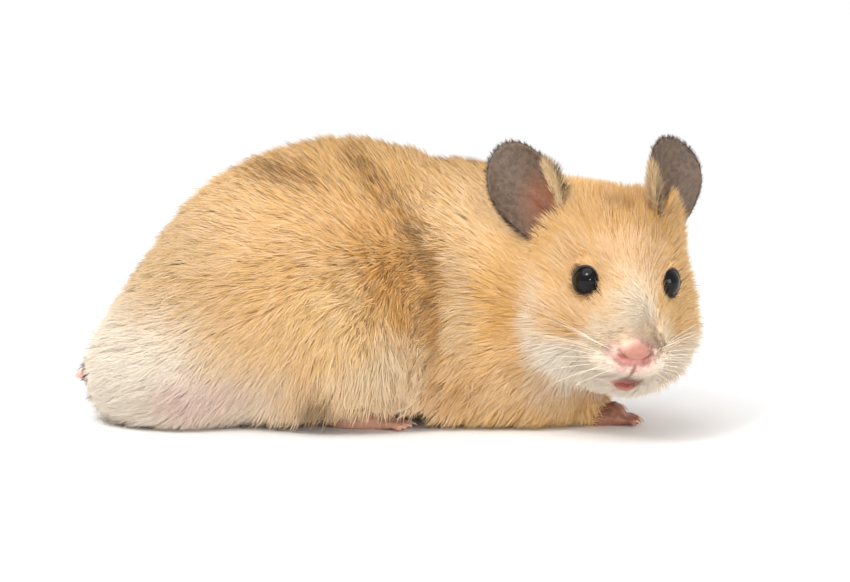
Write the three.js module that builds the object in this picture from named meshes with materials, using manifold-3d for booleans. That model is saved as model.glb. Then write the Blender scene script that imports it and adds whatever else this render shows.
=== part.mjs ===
// A Syrian hamster at life size, crouched on its belly and looking round past its right shoulder.
// Millimetres, +Z up, +X from tail to forepaws. The origin is on the floor, under the belly.
//
// The outline of the coat is one soft field: named masses that flow into each other, less a few hollows.
// Spheres are wrapped onto that field from a core line inside each region, and thin cuts then part the
// body where a person would name its parts. Ears, eyes, nose, tongue, paws and tail are built on their
// own and fitted to it.
import * as THREE from "three";
import { mergeVertices } from "three/addons/utils/BufferGeometryUtils.js";
import Module from "manifold-3d";

const wasm = await Module();
wasm.setup();

const GAP = 0.3; // clear space left at each cut
const OVERRUN = 10; // a wrapped region runs this far past its cuts before it is trimmed
const REACH = 90; // longer than any ray from a core line to the coat
const STEP = 1.5; // stride of a ray on its way in
const HALVINGS = 18;

// The head's own frame: +X out of the nose, +Y to the animal's left, +Z out of the crown.
const HEAD = { at: [46.2, -14, 30], turn: [-3, 12, -82.3] };

// Masses of the body, to the tips of the coat: centre, half sizes, and turn about X, Y and Z in degrees.
const BODY_MASSES = {
  pelvis: { at: [-19.5, 3, 28.7], half: [35, 26, 27.5], turn: [0, -32, 0] },
  back: { at: [0, 6, 33.3], half: [30, 21, 23], turn: [0, 3, 4] },
  rump: { at: [-42, 1, 17], half: [19, 18, 16], turn: [0, -25, 0] },
  hindBulge: { at: [-44, -2, 8.5], half: [18, 17, 12.5] },
  thighRight: { at: [-11, -9, 18], half: [19, 15, 20], turn: [0, -15, 0] },
  thighLeft: { at: [-11, 15, 18], half: [19, 15, 20], turn: [0, -15, 0] },
  belly: { at: [0, 1, 13], half: [34, 21, 17] },
  shoulders: { at: [21, 3, 29], half: [20, 20, 24] },
  chest: { at: [29, 0, 11], half: [20, 18, 15] },
  nape: { at: [36, 1, 31], half: [16, 15, 20] },
};

// Masses of the head, in its own frame.
const HEAD_MASSES = {
  skull: { at: [-3, -0.8, 4], half: [19, 15.5, 16] },
  brow: { at: [6, 0, 7], half: [10, 8, 9] },
  bridge: { at: [13, 0, 1.5], half: [9.5, 6, 6.5] },
  earRootRight: { at: [-3, -8.5, 14], half: [7, 5, 6.5], flow: 5 },
  earRootLeft: { at: [-3, 8.3, 14.5], half: [7, 4.6, 7.5], flow: 4 },
  muzzle: { at: [15, 0, -5.5], half: [10.5, 8, 7.5], flow: 6 },
  cheekRight: { at: [3, -9.5, -8], half: [14, 10, 12] },
  cheekLeft: { at: [3, 7.8, -8], half: [14, 10, 12] },
  chin: { at: [11, 0, -13], half: [9, 8, 5.5], flow: 5 },
};

// Hollows in the coat: over the hind paws, in the fold before the right haunch, and where the eyes look out.
const BODY_HOLLOWS = {
  hindPawRight: { at: [-5, -14.5, 0], half: [13, 7, 4.6], flow: 2 },
  hindPawLeft: { at: [-5, 21.5, 0], half: [13, 7, 4.6], flow: 2 },
  flankFold: { at: [11, -23, 30], half: [4, 7, 22], turn: [0, 8, 0], flow: 8 },
};
const HEAD_HOLLOWS = {
  eyeDipRight: { at: [17, -12.7, 6], half: [6.5, 6, 5.5], flow: 4 },
  eyeDipLeft: { at: [17, 12.7, 6], half: [6.5, 6, 5.5], flow: 4 },
};

// Where the body is parted across. The first two face forwards, and the throat's faces up.
const SHOULDER_CUT = { at: [22, 0, 25], normal: [1, -0.3, 0.45] };
const NECK_CUT = { at: [34, -3, 30], normal: [0.8, -0.6, 0.1] };
const THROAT_CUT = { at: [44, -16, 11.5], normal: [0.3, -0.25, 1] };

// What the head carries, in its own frame. Eyes are placed on the animal's left and mirrored to its right.
const EYE = { at: [10.6, 7.4, 4.8], radius: 3.4, lid: 0.35 };
const EAR = {
  height: 24, width: 16.5, thickness: 1.2, cup: 3.4, fold: 4.5, lean: 0.8, taper: 0.4, top: 0.85,
};
const EAR_RIGHT = { at: [-3, -12.5, 6], turn: [34, -12, -18] };
const EAR_LEFT = { at: [-3, 11.8, 6.4], turn: [-3, -12, 54] };
const NOSE = { at: [24.2, 0, -4.9], half: [2.1, 2.9, 2.2] };
const TONGUE = { at: [18.8, 0, -13.1], half: [3, 3.4, 1.3] };
const JAW = { from: [4, -7, -28], to: [40, 7, -13.1] };

// A haunch or a shoulder is what an ellipsoid takes out of the body.
const HAUNCH = { half: [19, 13, 19], turn: [0, -15, 0] };
const HAUNCH_AT = { right: [-14, -19, 17], left: [-14, 25, 17] };
const SHOULDER = { half: [10, 7, 10] };
const SHOULDER_AT = { right: [35, -14, 8], left: [36, 14, 8] };

// A paw lies along its own +X with its sole on the floor. Its toes fan out from the front of the pad, the
// middle ones longest, by an angle and a spacing from each to the next.
const HIND_PAW = { pad: [7.5, 2.9, 2.4], toes: 5, thick: 0.95, length: [4.6, 3.2], fan: 15, spread: 1.25 };
const FORE_PAW = { pad: [5.4, 3, 2.7], toes: 4, thick: 0.95, length: [3.4, 2.6], fan: 14, spread: 1.45 };
const PAD_LIFT = 0.6; // height of a pad's centre, as a share of its half height
const KNUCKLES = 0.72; // how far along the pad the toes start
const TOE_TAPER = 1.1; // a toe's root is this much thicker than its tip
const TOE_ROOM = [2.5, 4, 0]; // how much more room than the toes' length and the pad's width and height
const CLAW = { length: 1.7, thick: 0.42, tip: 0.26, droop: 14, set: 0.4, lift: 0.3 };
const PAWS = {
  hindfoot_right: { like: HIND_PAW, at: [-5.5, -10, 0], yaw: -4 },
  hindfoot_left: { like: HIND_PAW, at: [-5.5, 17, 0], yaw: 6 },
  forepaw_right: { like: FORE_PAW, at: [44.5, -6, 0], yaw: -2 },
  forepaw_left: { like: FORE_PAW, at: [42, 7, 0], yaw: 4 },
};

const TAIL = { root: [-57, 0, 11], tip: [-64.8, 0, 9.2], thick: 2.5, thin: 0.9 };

// How many faces go round each small solid.
const AROUND = {
  eye: 14, nose: 12, tongue: 12, pad: 10, toe: 5, claw: 4, tail: 10, haunch: 14, shoulder: 12,
};

const COLOURS = { fur: 0xd9a866, cream: 0xefe0cc, ear: 0x6b5a52, eye: 0x0a0a0a, skin: 0xd98c7e };

const { degToRad } = THREE.MathUtils;
const vec = ([x, y, z]) => new THREE.Vector3(x, y, z);
const WORLD = new THREE.Matrix4();

function frame(at, [roll, pitch, yaw] = [0, 0, 0], parent = WORLD) {
  const euler = new THREE.Euler(degToRad(roll), degToRad(pitch), degToRad(yaw), "ZYX");
  const turn = new THREE.Quaternion().setFromEuler(euler);
  return parent.clone().multiply(new THREE.Matrix4().compose(vec(at), turn, vec([1, 1, 1])));
}

const headFrame = frame(HEAD.at, HEAD.turn);

// Distance, near enough, from a point to an ellipsoid that stands in a frame.
function lump({ at, half, turn, flow = 8 }, parent = WORLD) {
  const inverse = frame(at, turn, parent).invert();
  const size = vec(half);
  const p = new THREE.Vector3();
  const q = new THREE.Vector3();
  const distance = (point) => {
    p.copy(point).applyMatrix4(inverse);
    const near = q.copy(p).divide(size).length();
    const slope = q.copy(p).divide(size).divide(size).length();
    return slope < 1e-9 ? -Math.min(...half) : (near * (near - 1)) / slope;
  };
  return { distance, flow };
}

const softMin = (a, b, k) => Math.min(a, b) - Math.max(k - Math.abs(a - b), 0) ** 2 / (4 * k);

const lumps = (body, onHead) => [
  ...Object.values(body).map((m) => lump(m)),
  ...Object.values(onHead).map((m) => lump(m, headFrame)),
];
const masses = lumps(BODY_MASSES, HEAD_MASSES);
const hollows = lumps(BODY_HOLLOWS, HEAD_HOLLOWS);

function coat(point) {
  let d = REACH;
  for (const { distance, flow } of masses) d = softMin(d, distance(point), flow);
  for (const { distance, flow } of hollows) d = -softMin(-d, distance(point), flow);
  return d;
}

// How far a point lies beyond a cut, along its normal.
function beyond({ at, normal }) {
  const n = vec(normal).normalize();
  const level = n.dot(vec(at));
  return (point) => n.dot(point) - level;
}

// A sphere whose vertices lie where rays from a core line leave the field.
function wrap(detail, [from, to], field) {
  const sphere = new THREE.IcosahedronGeometry(1, detail);
  sphere.deleteAttribute("normal");
  sphere.deleteAttribute("uv");
  const geometry = mergeVertices(sphere);
  const position = geometry.getAttribute("position");
  const axis = to.clone().sub(from).normalize();
  const ray = new THREE.Vector3();
  const origin = new THREE.Vector3();
  const probe = new THREE.Vector3();
  const inside = (t) => field(probe.copy(origin).addScaledVector(ray, t)) < 0;
  for (let i = 0; i < position.count; i++) {
    ray.fromBufferAttribute(position, i);
    origin.lerpVectors(from, to, (ray.dot(axis) + 1) / 2);
    let far = REACH;
    while (far > STEP && !inside(far - STEP)) far -= STEP;
    let near = far - STEP;
    for (let n = 0; n < HALVINGS; n++) {
      const middle = (near + far) / 2;
      if (inside(middle)) near = middle;
      else far = middle;
    }
    probe.copy(origin).addScaledVector(ray, near);
    position.setXYZ(i, probe.x, probe.y, probe.z);
  }
  return geometry;
}

// A closed geometry as a manifold-3d solid, placed in a frame.
function solid(geometry, place = WORLD) {
  const bare = geometry.clone().applyMatrix4(place);
  bare.deleteAttribute("normal");
  bare.deleteAttribute("uv");
  const merged = mergeVertices(bare, 1e-4);
  const { array } = merged.getAttribute("position");
  const triVerts = new Uint32Array(merged.index.array);
  return new wasm.Manifold(new wasm.Mesh({ numProp: 3, vertProperties: array, triVerts }));
}

const without = (shape, ...cutters) => cutters.reduce((left, cutter) => left.subtract(cutter), shape);
const joined = (shapes) => shapes.reduce((whole, shape) => whole.add(shape));

// An ellipsoid in a frame, grown by a margin.
function bead({ at, half, turn }, around, { parent = WORLD, grow = 0 } = {}) {
  const sphere = new THREE.SphereGeometry(1, around, around / 2);
  sphere.scale(...half.map((h) => h + grow));
  return solid(sphere, frame(at, turn, parent));
}

// Everything beyond a cut, or before it, less half the gap.
function halfSpace({ at, normal }, side = 1) {
  const size = 4 * REACH;
  const n = vec(normal).normalize().multiplyScalar(side);
  const box = new THREE.BoxGeometry(size, size, size);
  box.applyQuaternion(new THREE.Quaternion().setFromUnitVectors(vec([0, 0, 1]), n));
  const centre = vec(at).addScaledVector(n, (size - GAP) / 2);
  return solid(box.translate(centre.x, centre.y, centre.z));
}

const floor = halfSpace({ at: [0, 0, -GAP / 2], normal: [0, 0, -1] });
const inHead = (points) => points.map((p) => vec(p).applyMatrix4(headFrame));

// The three lengths of the body, wrapped apart and trimmed to the cuts between them.
const pastShoulders = beyond(SHOULDER_CUT);
const pastNeck = beyond(NECK_CUT);
const pastThroat = beyond(THROAT_CUT);
const REGIONS = {
  trunk: {
    detail: 7,
    core: [vec([-40, 0, 20]), vec([14, 3, 26])],
    limit: (p) => pastShoulders(p),
    trims: [halfSpace(SHOULDER_CUT)],
  },
  neck: {
    detail: 4,
    core: [vec([31, 2, 12]), vec([30, 4, 34])],
    limit: (p) => Math.max(-pastShoulders(p), Math.min(pastNeck(p), pastThroat(p))),
    trims: [halfSpace(SHOULDER_CUT, -1), halfSpace(NECK_CUT).intersect(halfSpace(THROAT_CUT))],
  },
  head: {
    detail: 8,
    core: inHead([[-6, 0, 1], [9, 0, -5]]),
    limit: (p) => Math.max(-pastNeck(p), -pastThroat(p)),
    trims: [halfSpace(NECK_CUT, -1), halfSpace(THROAT_CUT, -1)],
  },
};

function wrapped({ detail, core, limit }, grow = 0) {
  return solid(wrap(detail, core, (p) => Math.max(coat(p) - grow, limit(p) - OVERRUN)));
}

const region = (spec) => without(wrapped(spec), ...spec.trims, floor);

// An eyeball. The animal's right is side -1.
function eye(side, grow = 0) {
  const [x, y, z] = EYE.at;
  const ball = { at: [x, side * y, z], half: [EYE.radius, EYE.radius, EYE.radius] };
  return bead(ball, AROUND.eye, { parent: headFrame, grow });
}

// A rounded leaf, cupped across and folded in at its foot. Its mouth faces along its +X.
function ear({ at, turn }) {
  const leaf = new THREE.SphereGeometry(1, 16, 11);
  leaf.rotateX(Math.PI / 2);
  const position = leaf.getAttribute("position");
  for (let i = 0; i < position.count; i++) {
    const [x, y, z] = [position.getX(i), position.getY(i), position.getZ(i)];
    const up = ((1 + z) / 2) ** EAR.top;
    const foot = 1 - up;
    const across = y * (1 - EAR.taper * foot * foot);
    const plate = (Math.sign(x) * Math.sqrt(Math.abs(x)) * EAR.thickness) / 2;
    const curl = (EAR.cup + EAR.fold * foot) * across * across - EAR.lean * up * up;
    position.setXYZ(i, plate + curl, (across * EAR.width) / 2, up * EAR.height);
  }
  return solid(leaf, frame(at, turn, headFrame));
}

// A rod between two points, with a blunt root and a round tip.
function rod(from, to, thick, thin, around, { grow = 0, bends = 2 } = {}) {
  const length = from.distanceTo(to);
  const profile = [new THREE.Vector2(0, -(thick + grow) / 2), new THREE.Vector2(thick + grow, 0)];
  for (let i = 0; i <= bends; i++) {
    const turn = (i / bends) * (Math.PI / 2);
    profile.push(new THREE.Vector2((thin + grow) * Math.cos(turn), length + (thin + grow) * Math.sin(turn)));
  }
  const aim = to.clone().sub(from).normalize();
  const turn = new THREE.Quaternion().setFromUnitVectors(vec([0, 1, 0]), aim);
  const place = new THREE.Matrix4().compose(from, turn, vec([1, 1, 1]));
  return solid(new THREE.LatheGeometry(profile, around), place);
}

const pawFrame = ({ at, yaw }) => frame(at, [0, 0, yaw]);
const padOf = ({ pad }) => ({ at: [0, 0, pad[2] * PAD_LIFT], half: pad });

function paw(spec) {
  const { like } = spec;
  const place = pawFrame(spec);
  const shapes = [bead(padOf(like), AROUND.pad, { parent: place })];
  const middle = (like.toes - 1) / 2;
  for (let i = 0; i < like.toes; i++) {
    const off = i - middle;
    const azimuth = degToRad(off * like.fan);
    const aim = vec([Math.cos(azimuth), Math.sin(azimuth), 0]);
    const hook = aim.clone().setZ(-Math.sin(degToRad(CLAW.droop))).normalize();
    const root = vec([like.pad[0] * KNUCKLES, off * like.spread, like.thick * TOE_TAPER]);
    const length = THREE.MathUtils.lerp(like.length[0], like.length[1], Math.abs(off) / middle);
    const tip = root.clone().addScaledVector(aim, length);
    const quick = tip.clone().addScaledVector(hook, like.thick * CLAW.set).setZ(like.thick * (1 + CLAW.lift));
    const point = quick.clone().addScaledVector(hook, like.thick + CLAW.length);
    for (const end of [root, tip, quick, point]) end.applyMatrix4(place);
    shapes.push(rod(root, tip, like.thick * TOE_TAPER, like.thick, AROUND.toe));
    shapes.push(rod(quick, point, CLAW.thick, CLAW.tip, AROUND.claw, { bends: 1 }));
  }
  return without(joined(shapes), floor);
}

// The space that a paw takes out of the coat: round its pad, and round all of its toes at once.
function pawRoom(spec) {
  const { pad, length, thick } = spec.like;
  const parent = pawFrame(spec);
  const half = [length[0], pad[1], pad[2]].map((size, i) => size + TOE_ROOM[i]);
  const toes = { at: [pad[0] + length[0] / 2, 0, thick], half };
  return bead(padOf(spec.like), AROUND.pad, { parent, grow: 2 * GAP }).add(
    bead(toes, AROUND.pad, { parent, grow: GAP }),
  );
}

// What a cutter takes out of a body, and the body that is left with a gap round it.
function bite(body, spec, around) {
  const taken = body.intersect(bead(spec, around));
  const left = body.subtract(bead(spec, around, { grow: GAP }));
  return [taken, left];
}

function jawBox(grow = 0) {
  const from = vec(JAW.from).subScalar(grow);
  const to = vec(JAW.to).addScalar(grow);
  const size = to.clone().sub(from);
  const centre = from.add(to).multiplyScalar(0.5);
  return solid(new THREE.BoxGeometry(...size).translate(...centre), headFrame);
}

const nose = (grow = 0) => bead(NOSE, AROUND.nose, { parent: headFrame, grow });
const tongue = (grow = 0) => bead(TONGUE, AROUND.tongue, { parent: headFrame, grow });
const tail = (grow = 0) => rod(vec(TAIL.root), vec(TAIL.tip), TAIL.thick, TAIL.thin, AROUND.tail, { grow });

const pawRooms = joined(Object.values(PAWS).map(pawRoom));
let trunk = without(region(REGIONS.trunk), pawRooms, tail(GAP));
let neck = without(region(REGIONS.neck), pawRooms);
const wholeHead = region(REGIONS.head);
const head = without(wholeHead, jawBox(GAP), tongue(GAP), nose(GAP), eye(-1, EYE.lid), eye(1, EYE.lid));
const lowerJaw = wholeHead.intersect(jawBox()).subtract(tongue(GAP));
const aroundEars = wrapped(REGIONS.head, GAP).add(wrapped(REGIONS.neck, GAP));

const limbs = {};
for (const side of ["right", "left"]) {
  const haunch = { ...HAUNCH, at: HAUNCH_AT[side] };
  const shoulder = { ...SHOULDER, at: SHOULDER_AT[side] };
  [limbs[`hind_leg_${side}`], trunk] = bite(trunk, haunch, AROUND.haunch);
  [limbs[`foreleg_${side}`], neck] = bite(neck, shoulder, AROUND.shoulder);
}

function groupAt(place, parent) {
  const group = new THREE.Group();
  place.decompose(group.position, group.quaternion, group.scale);
  parent.add(group);
  return { group, inverse: place.clone().invert() };
}

// A solid as a named mesh in a group, its points written in that group's frame.
function addPart({ group, inverse }, name, shape, color, roughness = 0.9) {
  const { vertProperties, triVerts, numProp } = shape.getMesh();
  const places = new Float32Array((vertProperties.length / numProp) * 3);
  for (let i = 0; i < places.length / 3; i++) {
    places.set(vertProperties.subarray(i * numProp, i * numProp + 3), i * 3);
  }
  const geometry = new THREE.BufferGeometry();
  geometry.setAttribute("position", new THREE.BufferAttribute(places, 3));
  geometry.setIndex(new THREE.BufferAttribute(triVerts, 1));
  geometry.applyMatrix4(inverse);
  geometry.computeVertexNormals();
  const mesh = new THREE.Mesh(geometry, new THREE.MeshStandardMaterial({ color, roughness, metalness: 0 }));
  mesh.name = name;
  group.add(mesh);
}

const hamster = new THREE.Group();
const onBody = groupAt(WORLD, hamster);
addPart(onBody, "trunk", trunk, COLOURS.fur);
addPart(onBody, "neck", neck, COLOURS.fur);
addPart(onBody, "tail", tail(), COLOURS.skin, 0.6);
for (const [name, shape] of Object.entries(limbs)) addPart(onBody, name, shape, COLOURS.fur);

const onHead = groupAt(headFrame, hamster);
addPart(onHead, "head", head, COLOURS.fur);
addPart(onHead, "lower_jaw", lowerJaw, COLOURS.cream);
addPart(onHead, "nose", nose(), COLOURS.skin, 0.5);
addPart(onHead, "tongue", tongue(), COLOURS.skin, 0.4);
addPart(onHead, "eye_right", eye(-1), COLOURS.eye, 0.05);
addPart(onHead, "eye_left", eye(1), COLOURS.eye, 0.05);
addPart(onHead, "ear_right", ear(EAR_RIGHT).subtract(aroundEars), COLOURS.ear);
addPart(onHead, "ear_left", ear(EAR_LEFT).subtract(aroundEars), COLOURS.ear);

for (const [name, spec] of Object.entries(PAWS)) {
  addPart(groupAt(pawFrame(spec), hamster), name, paw(spec), COLOURS.skin, 0.6);
}

export default hamster;
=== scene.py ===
"""A life-size Syrian hamster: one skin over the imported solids, and a coat of mesh locks over the skin.

Shapes are worked out in millimetres, and written to their meshes in metres.
"""

import logging
import math
from dataclasses import dataclass, field
from enum import Enum

import bmesh
import bpy
import numpy as np
from mathutils import Euler, Matrix, Vector, kdtree
from mathutils.bvhtree import BVHTree

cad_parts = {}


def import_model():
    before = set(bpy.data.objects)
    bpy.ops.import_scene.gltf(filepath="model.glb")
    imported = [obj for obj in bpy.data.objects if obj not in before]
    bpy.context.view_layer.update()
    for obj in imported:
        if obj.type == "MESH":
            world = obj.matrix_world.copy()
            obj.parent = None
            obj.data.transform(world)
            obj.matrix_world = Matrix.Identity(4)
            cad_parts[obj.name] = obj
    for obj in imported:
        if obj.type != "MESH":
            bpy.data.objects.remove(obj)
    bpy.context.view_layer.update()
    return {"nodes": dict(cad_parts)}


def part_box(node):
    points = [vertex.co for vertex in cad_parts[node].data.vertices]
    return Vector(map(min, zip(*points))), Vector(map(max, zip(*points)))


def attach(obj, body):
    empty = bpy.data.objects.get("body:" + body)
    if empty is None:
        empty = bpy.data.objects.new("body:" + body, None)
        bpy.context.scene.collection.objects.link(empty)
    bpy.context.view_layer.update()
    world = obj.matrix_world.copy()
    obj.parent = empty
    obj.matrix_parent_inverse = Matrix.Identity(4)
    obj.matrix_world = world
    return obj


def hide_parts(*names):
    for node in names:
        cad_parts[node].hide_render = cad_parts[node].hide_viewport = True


log = logging.getLogger("hamster")

MM = 0.001
BODY = "root"
SEED = 20
BAKE_MAP = "OFBake"
PATCH = 0.003  # how much of the map each lock takes
MARKS = ("ear", "paw", "tail", "fringe")

Triple = tuple[float, float, float]


# ---- places and measures


@dataclass(frozen=True)
class Place:
    """A turned frame, in the body's millimetres.

    Args:
        at: where the frame's origin is.
        turn: its roll, pitch and yaw, in degrees.
    """

    at: Triple = (0.0, 0.0, 0.0)
    turn: Triple = (0.0, 0.0, 0.0)

    @property
    def axes(self) -> np.ndarray:
        """The frame's axes, as the columns of a matrix."""
        return np.array(Euler([math.radians(a) for a in self.turn]).to_matrix())

    def out(self, points: np.ndarray) -> np.ndarray:
        """Points of the frame, in the body."""
        return np.asarray(points, float) @ self.axes.T + self.at

    def into(self, points: np.ndarray) -> np.ndarray:
        """Points of the body, in the frame."""
        return (np.asarray(points, float) - self.at) @ self.axes

    def aim(self, vectors: np.ndarray) -> np.ndarray:
        """Directions of the frame, in the body."""
        return np.asarray(vectors, float) @ self.axes.T

    def child(self, place: "Place") -> "Place":
        """A place given in this frame, as a place in the body."""
        turn = Matrix((self.axes @ place.axes).tolist()).to_euler()
        return Place(tuple(self.out(place.at)), tuple(math.degrees(a) for a in turn))


WHOLE = Place()
HEAD = Place((46.2, -14.0, 30.0), (-3.0, 12.0, -82.3))


class Side(Enum):
    """A side of the animal, as the sign of its own +Y."""

    RIGHT = -1
    LEFT = 1

    @property
    def word(self) -> str:
        """The side's name in lower case."""
        return self.name.lower()


def ease(value: np.ndarray, low: float, high: float) -> np.ndarray:
    """A smooth step from 0 at low to 1 at high.

    Args:
        value: the numbers to ease.
        low: where the step starts. It may be above high.
        high: where the step ends.

    Returns:
        The eased numbers.
    """
    t = np.clip((np.asarray(value, float) - low) / (high - low), 0.0, 1.0)
    return t * t * (3.0 - 2.0 * t)


def unit(vectors: np.ndarray) -> np.ndarray:
    """The vectors, each one long."""
    length = np.linalg.norm(vectors, axis=-1, keepdims=True)
    return vectors / np.maximum(length, 1e-9)


def flat_part(vectors: np.ndarray, normals: np.ndarray) -> np.ndarray:
    """The vectors, each laid in the plane that its normal faces."""
    return vectors - normals * np.sum(vectors * normals, axis=-1, keepdims=True)


def drift(points: np.ndarray, scale: float, seed: int) -> np.ndarray:
    """Smooth noise from -1 to 1 over space.

    Args:
        points: where to read it, in millimetres.
        scale: the size of its lumps.
        seed: which noise.

    Returns:
        One number for each point.
    """
    rng = np.random.default_rng(seed)
    total = np.zeros(len(points))
    for _ in range(5):
        wave = unit(rng.normal(size=3)) * rng.uniform(0.6, 1.5) / scale
        total += np.sin(points @ wave * math.tau / 2 + rng.uniform(0, math.tau))
    return total / 3.2


def merge_into(whole: bmesh.types.BMesh, part: bmesh.types.BMesh) -> None:
    """Adds one bmesh to another, and frees it."""
    mesh = bpy.data.meshes.new("part")
    part.to_mesh(mesh)
    part.free()
    whole.from_mesh(mesh)
    bpy.data.meshes.remove(mesh)


# ---- the skin's own shapes


@dataclass(frozen=True)
class Bead:
    """An ellipsoid in a frame."""

    at: Triple
    half: Triple
    turn: Triple = (0.0, 0.0, 0.0)

    def add_to(self, mesh: bmesh.types.BMesh, place: Place, around: int = 24) -> None:
        """Adds the ellipsoid to a mesh.

        Args:
            mesh: the mesh that it joins.
            place: the frame that it is given in.
            around: its faces round the equator.
        """
        ball = bmesh.new()
        bmesh.ops.create_uvsphere(ball, u_segments=around, v_segments=around // 2, radius=1.0)
        own = place.child(Place(self.at, self.turn))
        for vert in ball.verts:
            vert.co = own.out(np.array(vert.co) * self.half)
        merge_into(mesh, ball)


@dataclass(frozen=True)
class Rod:
    """A round rod along points, thinning or swelling from each to the next."""

    points: tuple[Triple, ...]
    radii: tuple[float, ...]
    squash: float = 1.0

    def add_to(self, mesh: bmesh.types.BMesh, place: Place, around: int = 12) -> None:
        """Adds the rod to a mesh, as beads that a remesh joins."""
        spots = np.array(self.points, float)
        for (start, end), (wide, thin) in zip(zip(spots, spots[1:]), zip(self.radii, self.radii[1:])):
            gap = max(min(wide, thin) * 0.5, 0.2)
            count = max(int(np.linalg.norm(end - start) / gap), 1)
            for step in range(count + 1):
                share = step / count
                radius = wide + (thin - wide) * share
                half = (radius, radius, radius * self.squash)
                Bead(tuple(start + (end - start) * share), half).add_to(mesh, place, around)


@dataclass(frozen=True)
class Ear:
    """One ear's leaf: a rounded leaf, cupped across and folded in at its foot.

    Its mouth faces along its own +X, and its tip is up along +Z.

    Args:
        side: of the head.
        place: where its foot is, in the head's frame.
        width: of the leaf.
        cup: how far its edges stand ahead of its middle.
        fold: how much further they do so at the foot.
        lean: how far its tip leans back.
        taper: how much narrower its foot is, as a share.
        top: how far its height is drawn up to the tip, as a power.
        sweep: how far its tip is swept outwards.
        haired: where up its inner edge the fringe ends and is full, as shares.
        height: of the leaf.
        thickness: of the leaf.
    """

    side: Side
    place: Place
    width: float
    cup: float
    fold: float
    lean: float
    taper: float
    top: float
    sweep: float
    haired: tuple[float, float]
    height: float = 23.1
    thickness: float = 1.0

    def add_to(self, mesh: bmesh.types.BMesh) -> None:
        """Adds the leaf to a mesh."""
        leaf = bmesh.ops.create_uvsphere(mesh, u_segments=72, v_segments=44, radius=1.0)
        own = HEAD.child(self.place)
        verts = leaf["verts"]
        x, y, z = np.array([vert.co for vert in verts]).T
        up = ((1 + np.clip(z, -1, 1)) / 2) ** self.top
        foot = 1 - up
        across = y * (1 - self.taper * foot * foot)
        plate = np.sign(x) * np.sqrt(np.abs(x)) * self.thickness / 2
        curl = (self.cup + self.fold * foot) * across * across - self.lean * up * up
        wide = across * self.width / 2 + self.side.value * self.sweep * up * up
        shape = np.stack([plate + curl + self.relief(x, across, up), wide, up * self.height], 1)
        for vert, spot in zip(verts, own.out(shape)):
            vert.co = spot

    def measure(self, points: np.ndarray) -> tuple[np.ndarray, np.ndarray, np.ndarray]:
        """How far points of the body lie off the leaf, across it and up it, the last two as shares."""
        x, y, z = HEAD.child(self.place).into(points).T
        up = z / self.height
        foot = 1 - np.clip(up, 0, 1)
        across = (y - self.side.value * self.sweep * up * up) * 2 / self.width
        spread = across / (1 - self.taper * foot * foot)
        off = x - (self.cup + self.fold * foot) * across * across + self.lean * up * up
        return off, spread, up

    def fringe(self, points: np.ndarray) -> np.ndarray:
        """How far each point of the leaf lies on its haired inner edge, from 0 to 1."""
        off, across, up = self.measure(points)
        near = np.abs(off) < 2.5
        return near * ease(-self.side.value * across, 0.5, 0.9) * ease(up, *self.haired)

    def holds(self, points: np.ndarray) -> np.ndarray:
        """Which points of the body's skin are the leaf's."""
        off, across, up = self.measure(points)
        inside = np.hypot(across, np.clip(2 * up - 1, 0, None)) < 1.08
        return (off > -1.0) & (off < 1.5) & inside & (up > 0.1)

    def relief(self, x: np.ndarray, across: np.ndarray, up: np.ndarray) -> np.ndarray:
        """The low ridges and the dip inside the leaf.

        Args:
            x: how far towards the mouth a point of the unshaped ball is.
            across: its place across the leaf, from -1 to 1.
            up: its height up the leaf, from 0 to 1.

        Returns:
            How far the surface moves along the leaf's +X.
        """
        line = across * self.side.value
        ridge = np.exp(-(((line + 0.55 - 0.9 * up) / 0.09) ** 2))
        ridge *= ease(up, 0.62, 0.42) * ease(up, 0.1, 0.22)
        rim = np.exp(-(((np.hypot(across, 2 * up - 1) - 0.93) / 0.06) ** 2))
        return ease(x, -0.1, 0.4) * (0.75 * ridge + 0.35 * rim)


@dataclass(frozen=True)
class Paw:
    """A paw that lies along its own +X with its sole on the floor."""

    name: str
    place: Place
    pad: Triple
    toes: int
    length: tuple[float, float]
    fan: float
    spread: float
    wrist: Triple
    thick: float = 0.95
    knuckles: float = 0.72
    furred: float = -20.0

    def toe_lines(self) -> list[tuple[np.ndarray, np.ndarray, float]]:
        """Each toe's root and tip in the paw's frame, and the way that it points, in radians."""
        middle = (self.toes - 1) / 2
        lines = []
        for number in range(self.toes):
            off = number - middle
            way = math.radians(off * self.fan)
            reach = np.interp(abs(off) / middle, (0, 1), self.length)
            root = np.array([self.pad[0] * self.knuckles, off * self.spread, self.thick * 1.15])
            tip = root + np.array([math.cos(way), math.sin(way), -0.05]) * reach
            lines.append((root, tip, way))
        return lines

    def add_to(self, mesh: bmesh.types.BMesh) -> None:
        """Adds the pad, the toes and the wrist to a mesh."""
        long, wide, tall = self.pad
        Bead((0, 0, tall * 0.6), (long, wide, tall)).add_to(mesh, self.place)
        Bead((long * 0.55, 0, tall * 0.5), (long * 0.42, wide * 1.05, tall * 0.75)).add_to(mesh, self.place)
        wrist = Rod(((-0.2 * long, 0, tall * 0.7), self.wrist), (tall * 0.85, tall * 1.3))
        wrist.add_to(mesh, self.place, 20)
        for root, tip, _ in self.toe_lines():
            bend = root + (tip - root) * 0.5 + np.array([0, 0, 0.28])
            points = (tuple(root - (tip - root) * 0.35 + [0, 0, 0.25]), tuple(root), tuple(bend), tuple(tip))
            radii = (self.thick * 0.9, self.thick, self.thick * 0.8, self.thick * 0.92)
            Rod(points, radii).add_to(mesh, self.place)


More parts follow.
